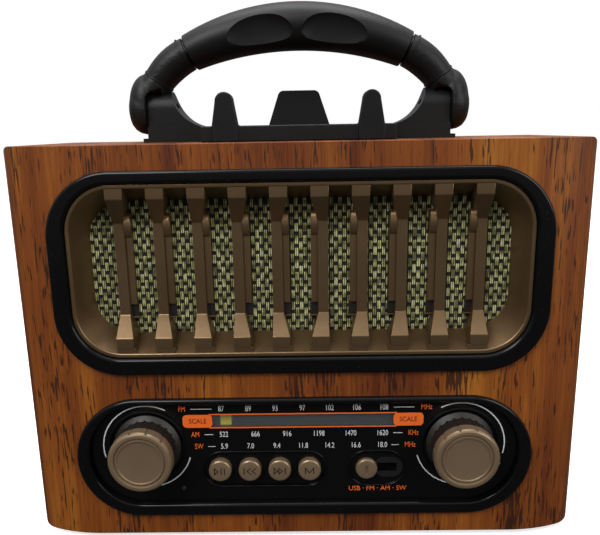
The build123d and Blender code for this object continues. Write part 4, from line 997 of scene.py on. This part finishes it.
def push_button(name, x):
    """A round button with its symbol cut in, and dark strokes in the cuts as painted shade and grime."""
    profile = [(0.5, 0.0), (3.5, 0.0), (4.05, 0.16), (4.4, 0.5), (BUTTON_R, 1.0), (BUTTON_R, 4.2)]
    profile += [(1.6, 4.2), (1.6, 5.8)]
    button = turned(profile, (x, BUTTON_FACE_Y, BUTTON_Z), sides=72, name="button")
    depth = (BUTTON_FACE_Y - 0.5, BUTTON_FACE_Y + 0.32)
    groove_shade_strokes = []
    for start, end in symbol_strokes(name):
        places = [(x + px, BUTTON_Z + pz) for px, pz in (start, end)]
        cut(button, stroke(*places, 0.42, depth))
        # painted shade and grime: dark strokes set into the cut grooves
        groove_shade_strokes.append(stroke(*places, 0.44, (BUTTON_FACE_Y + 0.12, BUTTON_FACE_Y + 0.36)))
    node, body = f"button_{name}", f"{name}_button"
    fit(joined("groove_shade_strokes", groove_shade_strokes), node + "_symbol", body, "print_dark", finish=PAINTED_SHADE_FINISH)
    fit(button, node, body, "bronze", node, finish=CAP_FINISH, angle=25)


def band_slider():
    """The band switch's round knob with an upright slot in its face."""
    profile = [(0.5, 0.0), (3.2, 0.0), (3.85, 0.18), (4.2, 0.6), (4.3, 1.0), (4.3, 2.05), (1.2, 2.05), (1.2, 5.2)]
    knob = turned(profile, (SLIDER_X, SLIDER_FACE_Y, BUTTON_Z), sides=72, name="slider")
    depth = (PLATE_Y - 2.2, PLATE_Y - 1.15)
    cut(knob, plate((1.1, 3.2), 0.54, (SLIDER_X, BUTTON_Z), depth, 6, "dimple"))
    fit(knob, "band_slider", "band_knob", "bronze", "band_slider", finish=CAP_FINISH, angle=25)


def switch_floor():
    """The black slide that shows through the switch recess beside the slider."""
    size = (11.6, 8.6)
    floor = plate(size, 4.2, (33.6, BUTTON_Z), (PLATE_Y + 0.52, PLATE_Y + 0.79), 8, "switch_floor")
    cut(floor, block((22, 37), (PLATE_Y, PLATE_Y + 2), (BUTTON_Z - 1.8, BUTTON_Z + 1.8), "stem_slot"))
    fit(floor, "switch_floor", "cabinet", "black_satin")


def window_and_pointer():
    """The clear window, the card behind it and the ribbed flag of the pointer."""
    low, high = extent("dial_window")
    middle = ((low.x + high.x) / 2, (low.z + high.z) / 2)
    size = (high.x - low.x, high.z - low.z)
    lens = plate(size, 0.5, middle, (low.y, high.y), 4, "dial_window")
    fit(soften(lens, 0.12, 2), "dial_window", "cabinet", "lens", "dial_window")
    backing = plate((size[0] + 4, size[1] + 3.4), 0.6, (middle[0], middle[1] + 0.6), (7.5, 7.9), 4, "backing")
    fit(backing, "dial_backing_card", "cabinet", "backing")
    low, high = extent("pointer")
    x = (low.x + high.x) / 2
    flag = plate((high.x - low.x, size[1] + 1.6), 0.3, (x, middle[1]), (low.y - 0.15, low.y + 0.6), 3, "flag")
    half = size[1] / 2 + 0.6
    upright = (middle[1] - half, middle[1] + half)
    ribs = []
    for dx, w in ((-1.1, 0.5), (1.2, 0.4)):
        ribs.append(block((x + dx - w, x + dx + w), (low.y - 0.35, low.y + 0.1), upright, "rib"))
    fit(joined("pointer_flag", [flag] + ribs), "pointer_flag", "dial_pointer", "pointer")


def power_lamp():
    """The small dark lens at the lower left of the dial."""
    profile = [(0.3, -0.12), (0.75, -0.08), (0.95, 0.1), (0.95, 0.4)]
    lamp = turned(profile, (-48.0, PLATE_Y, 19.8), sides=32, name="lamp")
    fit(lamp, "power_lamp_lens", "cabinet", "lamp")


# ---------------- carry handle
HANDLE_Y = 40.0
PIVOT_Z = 168.0
GRIP_HALF = 43.4
GRIP_RISE = 9.5
GRIP_TOP = 199.3
GRIP_R = (GRIP_HALF ** 2 + GRIP_RISE ** 2) / (2 * GRIP_RISE)
RING = (56.4, 179.3, -53.0)   # x, z and heading of the ring below the sleeve
HUB_IN = 60.7
HUB_OUT = 68.8
POST_R = 7.0
ARM_DEEP = 1.24          # depth of the arms over their height


def grip_section(x, height):
    """A section of the grip's arc at x."""
    z = GRIP_TOP - GRIP_R + math.sqrt(GRIP_R ** 2 - x ** 2)
    return (x, z, -math.degrees(math.asin(x / GRIP_R)), height)


def handle_grip():
    """The grip, thicker towards its middle, with two thumb hollows in its front."""
    steps = 28
    sections = [grip_section(-GRIP_HALF, 13.4)]
    for i in range(steps + 1):
        t = -1 + 2 * i / steps
        sections.append(grip_section((GRIP_HALF - 0.35) * t, 14.5 + 4.0 * (1 - t * t)))
    sections.append(grip_section(GRIP_HALF, 13.4))
    grip = swept(sections, HANDLE_Y, 1.135, 64, "handle_grip")
    for side in (-1, 1):
        cut(grip, ball((side * 14.6, HANDLE_Y - 10.6, 193.0), (13.8, 3.4, 10.6), 64, side * 9))
    fit(grip, "handle_grip", "handle", "black_satin", "handle_grip", finish=GRIP_FINISH, angle=40)


def handle_sleeve():
    """The pitted sleeve between the grip and the ring, on the right."""
    x0, z0, heading = grip_section(GRIP_HALF, 0)[:3]
    gap = 0.75
    start = (x0 + gap * math.cos(math.radians(heading)), z0 + gap * math.sin(math.radians(heading)))
    x1, z1, last = RING
    sections = []
    steps = 12
    for i in range(steps + 1):
        t = i / steps
        bulge = 3.2 * t * (1 - t)
        x = start[0] + (x1 - start[0]) * t + bulge * 0.75
        z = start[1] + (z1 - start[1]) * t + bulge
        sections.append((x, z, heading + (last - heading) * t, 13.2 + 0.5 * math.sin(math.pi * t) - 0.9 * t))
    ends = [(*sections[0][:3], 12.3), (*sections[-1][:3], 11.6)]
    sleeve = swept([ends[0], *sections, ends[1]], HANDLE_Y, ARM_DEEP, 56, "sleeve")
    neck_back = (x0 - 0.3, z0, heading, 10.4)
    neck = swept([neck_back, (start[0] + 0.3, start[1], heading, 10.4)], HANDLE_Y, ARM_DEEP, 40, "neck")
    return joined("sleeve", [sleeve, neck])


def ring_band(x, z, heading, height, width):
    """A thin raised band round the handle."""
    dx = width / 2 * math.cos(math.radians(heading))
    dz = width / 2 * math.sin(math.radians(heading))
    rounds = ((-1.0, -0.7), (-0.7, 0.0), (0.7, 0.0), (1.0, -0.7))
    sections = [(x + k * dx, z + k * dz, heading, height + grow) for k, grow in rounds]
    return swept(sections, HANDLE_Y, ARM_DEEP, 56, "band")


def handle_hub():
    """The egg-shaped hub on the pivot and the hollow shoulder up to the ring, on the right."""
    x1, z1, heading = RING
    shoulder = swept([
        (x1 + 0.2, z1 - 0.3, heading, 12.5), (x1 + 2.2, z1 - 2.8, -58, 12.9), (x1 + 4.4, z1 - 6.6, -66, 13.6),
        (x1 + 6.0, z1 - 10.6, -78, 14.0), (x1 + 6.6, z1 - 13.4, -88, 12.0)], HANDLE_Y, ARM_DEEP, 48, "shoulder")
    profile = [(2.0, HUB_IN - 2), (9.8, HUB_IN - 1.9), (9.8, 62.6), (9.4, 64.6), (8.4, 66.4), (6.6, 67.8)]
    profile += [(4.0, 68.6), (1.0, HUB_OUT)]
    dome = turned(profile, (0, HANDLE_Y, PIVOT_Z), "X", 64, "dome")
    egg = ball((61.6, HANDLE_Y, 170.2), (7.2, 9.6, 11.9), 48)
    hub = cut(shoulder, dome, how="UNION")
    cut(hub, egg, how="UNION")
    pocket = turned([(10.4, 54.8), (10.4, HUB_IN)], (0, HANDLE_Y, PIVOT_Z), "X", 64, "pocket")
    below = block((40, HUB_IN), (20, 60), (150, PIVOT_Z + POST_R * 0.5))
    cut(hub, pocket, below)
    modify(hub, "REMESH", mode="VOXEL", voxel_size=0.42 * MM)
    modify(hub, "SMOOTH", factor=0.5, iterations=6)
    return hub


def handle_arms():
    """Sleeves, hubs and bands, made on the right and mirrored to the left."""
    x0, z0, heading = grip_section(GRIP_HALF, 0)[:3]
    pieces = {
        "handle_sleeve": (handle_sleeve(), SLEEVE_FINISH),
        "handle_hub": (handle_hub(), GRIP_FINISH),
        "handle_ring": (ring_band(*RING, 12.9, 1.2), GRIP_FINISH),
        "handle_collar": (ring_band(x0 + 2.4, z0 - 0.75, heading - 3, 13.5, 0.7), GRIP_FINISH),
    }
    for name, (piece, finish) in pieces.items():
        for side, shape in (("_left", mirrored(piece)), ("_right", piece)):
            fit(shape, name + side, "handle", "black_satin", "handle_arms", finish=finish, angle=40)


def base_and_cradle():
    """The handle's base, the phone cradle and its rest, with rounded edges."""
    for node, width in (("handle_base", 0.4), ("phone_cradle", 0.55), ("phone_rest", 0.5)):
        fit(refined(node, width, 3), node + "_moulding", "cabinet", "black_satin", node, finish=CRADLE_FINISH)


# ---------------- cabinet and back
def cabinet_shells():
    """The outer shells with their sharp edges rounded."""
    shells = (("cabinet_front", "cabinet", 0.35, 2), ("cabinet_wrap", "cabinet", 0.3, 2))
    shells += (("back_cover", "cabinet", 0.3, 2), ("dial_plate", "cabinet", 0, 2))
    shells += (("battery_door", "door", 0.3, 2), ("feet", "cabinet", 0.5, 3))
    for part in frame["record"]["subparts"]:
        for node, body, width, segments in shells:
            if part["node"] == node:
                slot = part["material_slot"]
                fit(refined(node, width, segments), node + "_shell", body, slot, node)


def dress_cad_nodes():
    """Gives the CAD nodes that stay as they are the finish of their slot."""
    for part in frame["record"]["subparts"]:
        data = frame["nodes"][part["node"]].data
        data.materials.clear()
        data.materials.append(MATERIALS[part["material_slot"]])


# ---------------- camera, floor and light
CAMERA_TURN = (12.6, -0.83, -1.0)    # degrees down, round and over
CAMERA_PLACE = (0.0032, FRONT_Y - 0.222, 0.1624)
LENS = 37.2
LIGHTS_AIM = Vector((0, 0, 0.1))


def add_camera():
    """The camera stands just above the cabinet's top and looks down on the front."""
    pitch, yaw, roll = (math.radians(angle) for angle in CAMERA_TURN)
    turn = Matrix.Rotation(-yaw, 4, "Z") @ Matrix.Rotation(math.pi / 2 - pitch, 4, "X")
    data = bpy.data.cameras.new("camera")
    data.lens = LENS
    data.sensor_width = 36.0
    data.clip_start = 0.01
    camera = bpy.data.objects.new("camera", data)
    camera.matrix_world = Matrix.Translation(CAMERA_PLACE) @ turn @ Matrix.Rotation(roll, 4, "Z")
    SCENE.collection.objects.link(camera)
    SCENE.camera = camera


def add_light(name, place, size, power):
    """A rectangular light aimed at the radio."""
    data = bpy.data.lights.new(name, "AREA")
    data.shape = "RECTANGLE"
    data.size, data.size_y = size
    data.energy = power
    light = bpy.data.objects.new(name, data)
    aim = (LIGHTS_AIM - Vector(place)).to_track_quat("-Z", "Y")
    light.matrix_world = Matrix.Translation(place) @ aim.to_matrix().to_4x4()
    SCENE.collection.objects.link(light)


def add_world():
    """Light comes mostly from above; the backdrop itself is white."""
    world = bpy.data.worlds.new("studio")
    world.use_nodes = True
    tree = world.node_tree
    background = tree.nodes["Background"]
    background.inputs["Color"].default_value = (1, 1, 1, 1)
    way = tree.nodes.new("ShaderNodeTexCoord")
    parts = tree.nodes.new("ShaderNodeSeparateXYZ")
    level = tree.nodes.new("ShaderNodeMapRange")
    for name, value in (("From Min", -0.25), ("From Max", 0.9), ("To Min", 0.07), ("To Max", 0.95)):
        level.inputs[name].default_value = value
    seen = tree.nodes.new("ShaderNodeLightPath")
    brighter = tree.nodes.new("ShaderNodeMath")
    brighter.operation = "MAXIMUM"
    tree.links.new(way.outputs["Generated"], parts.inputs[0])
    tree.links.new(parts.outputs["Z"], level.inputs["Value"])
    tree.links.new(level.outputs[0], brighter.inputs[0])
    tree.links.new(seen.outputs["Is Camera Ray"], brighter.inputs[1])
    tree.links.new(brighter.outputs[0], background.inputs["Strength"])
    SCENE.world = world


def add_studio():
    """World, floor, lights and the picture's tone."""
    add_world()
    bpy.ops.mesh.primitive_plane_add(size=8.0, location=(0, 0, 0))
    floor = bpy.context.object
    floor.name = "studio_floor"
    floor.visible_glossy = False
    floor.visible_diffuse = False
    finish = Finish("pale_floor")
    tone = finish.mix(finish.noise(3.0), (0.86, 0.86, 0.86), (0.9, 0.9, 0.9))
    finish.set(Base_Color=tone, Roughness=0.7, Emission_Color=(1.0, 1.0, 1.0, 1.0), Emission_Strength=0.62)
    floor.data.materials.append(finish.material)
    add_light("key", (-0.5, -0.7, 0.9), (0.6, 0.5), 9.0)
    add_light("fill", (0.8, -0.6, 0.5), (0.5, 0.7), 4.0)
    add_light("top", (0.0, 0.1, 1.0), (0.8, 0.5), 6.0)
    SCENE.view_settings.view_transform = "Standard"


dress_cad_nodes()
bezel("speaker_bezel", SPK_SIZE, SPK_CORNER, (SPK_RING, SPK_RING_TOP), SPK_Z, 1.25, 7, 24)
grille_frame()
grille_bars()
rib_shade_plates()
speaker_cloth()
bezel("control_bezel", CTL_SIZE, CTL_CORNER, (CTL_RING, CTL_RING_TOP), CTL_Z, 1.2, 6.4, 32)
raised_rims()
dial_numbers()
dial_labels()
for make in (knob_cap, knob_skirt):
    make(-1, "volume_knob")
    make(1, "tuning_knob")
for button_name, button_x in zip(("play", "back", "next", "mode"), BUTTON_XS):
    push_button(button_name, button_x)
band_slider()
switch_floor()
window_and_pointer()
power_lamp()
handle_grip()
handle_arms()
base_and_cradle()
cabinet_shells()
add_camera()
add_studio()
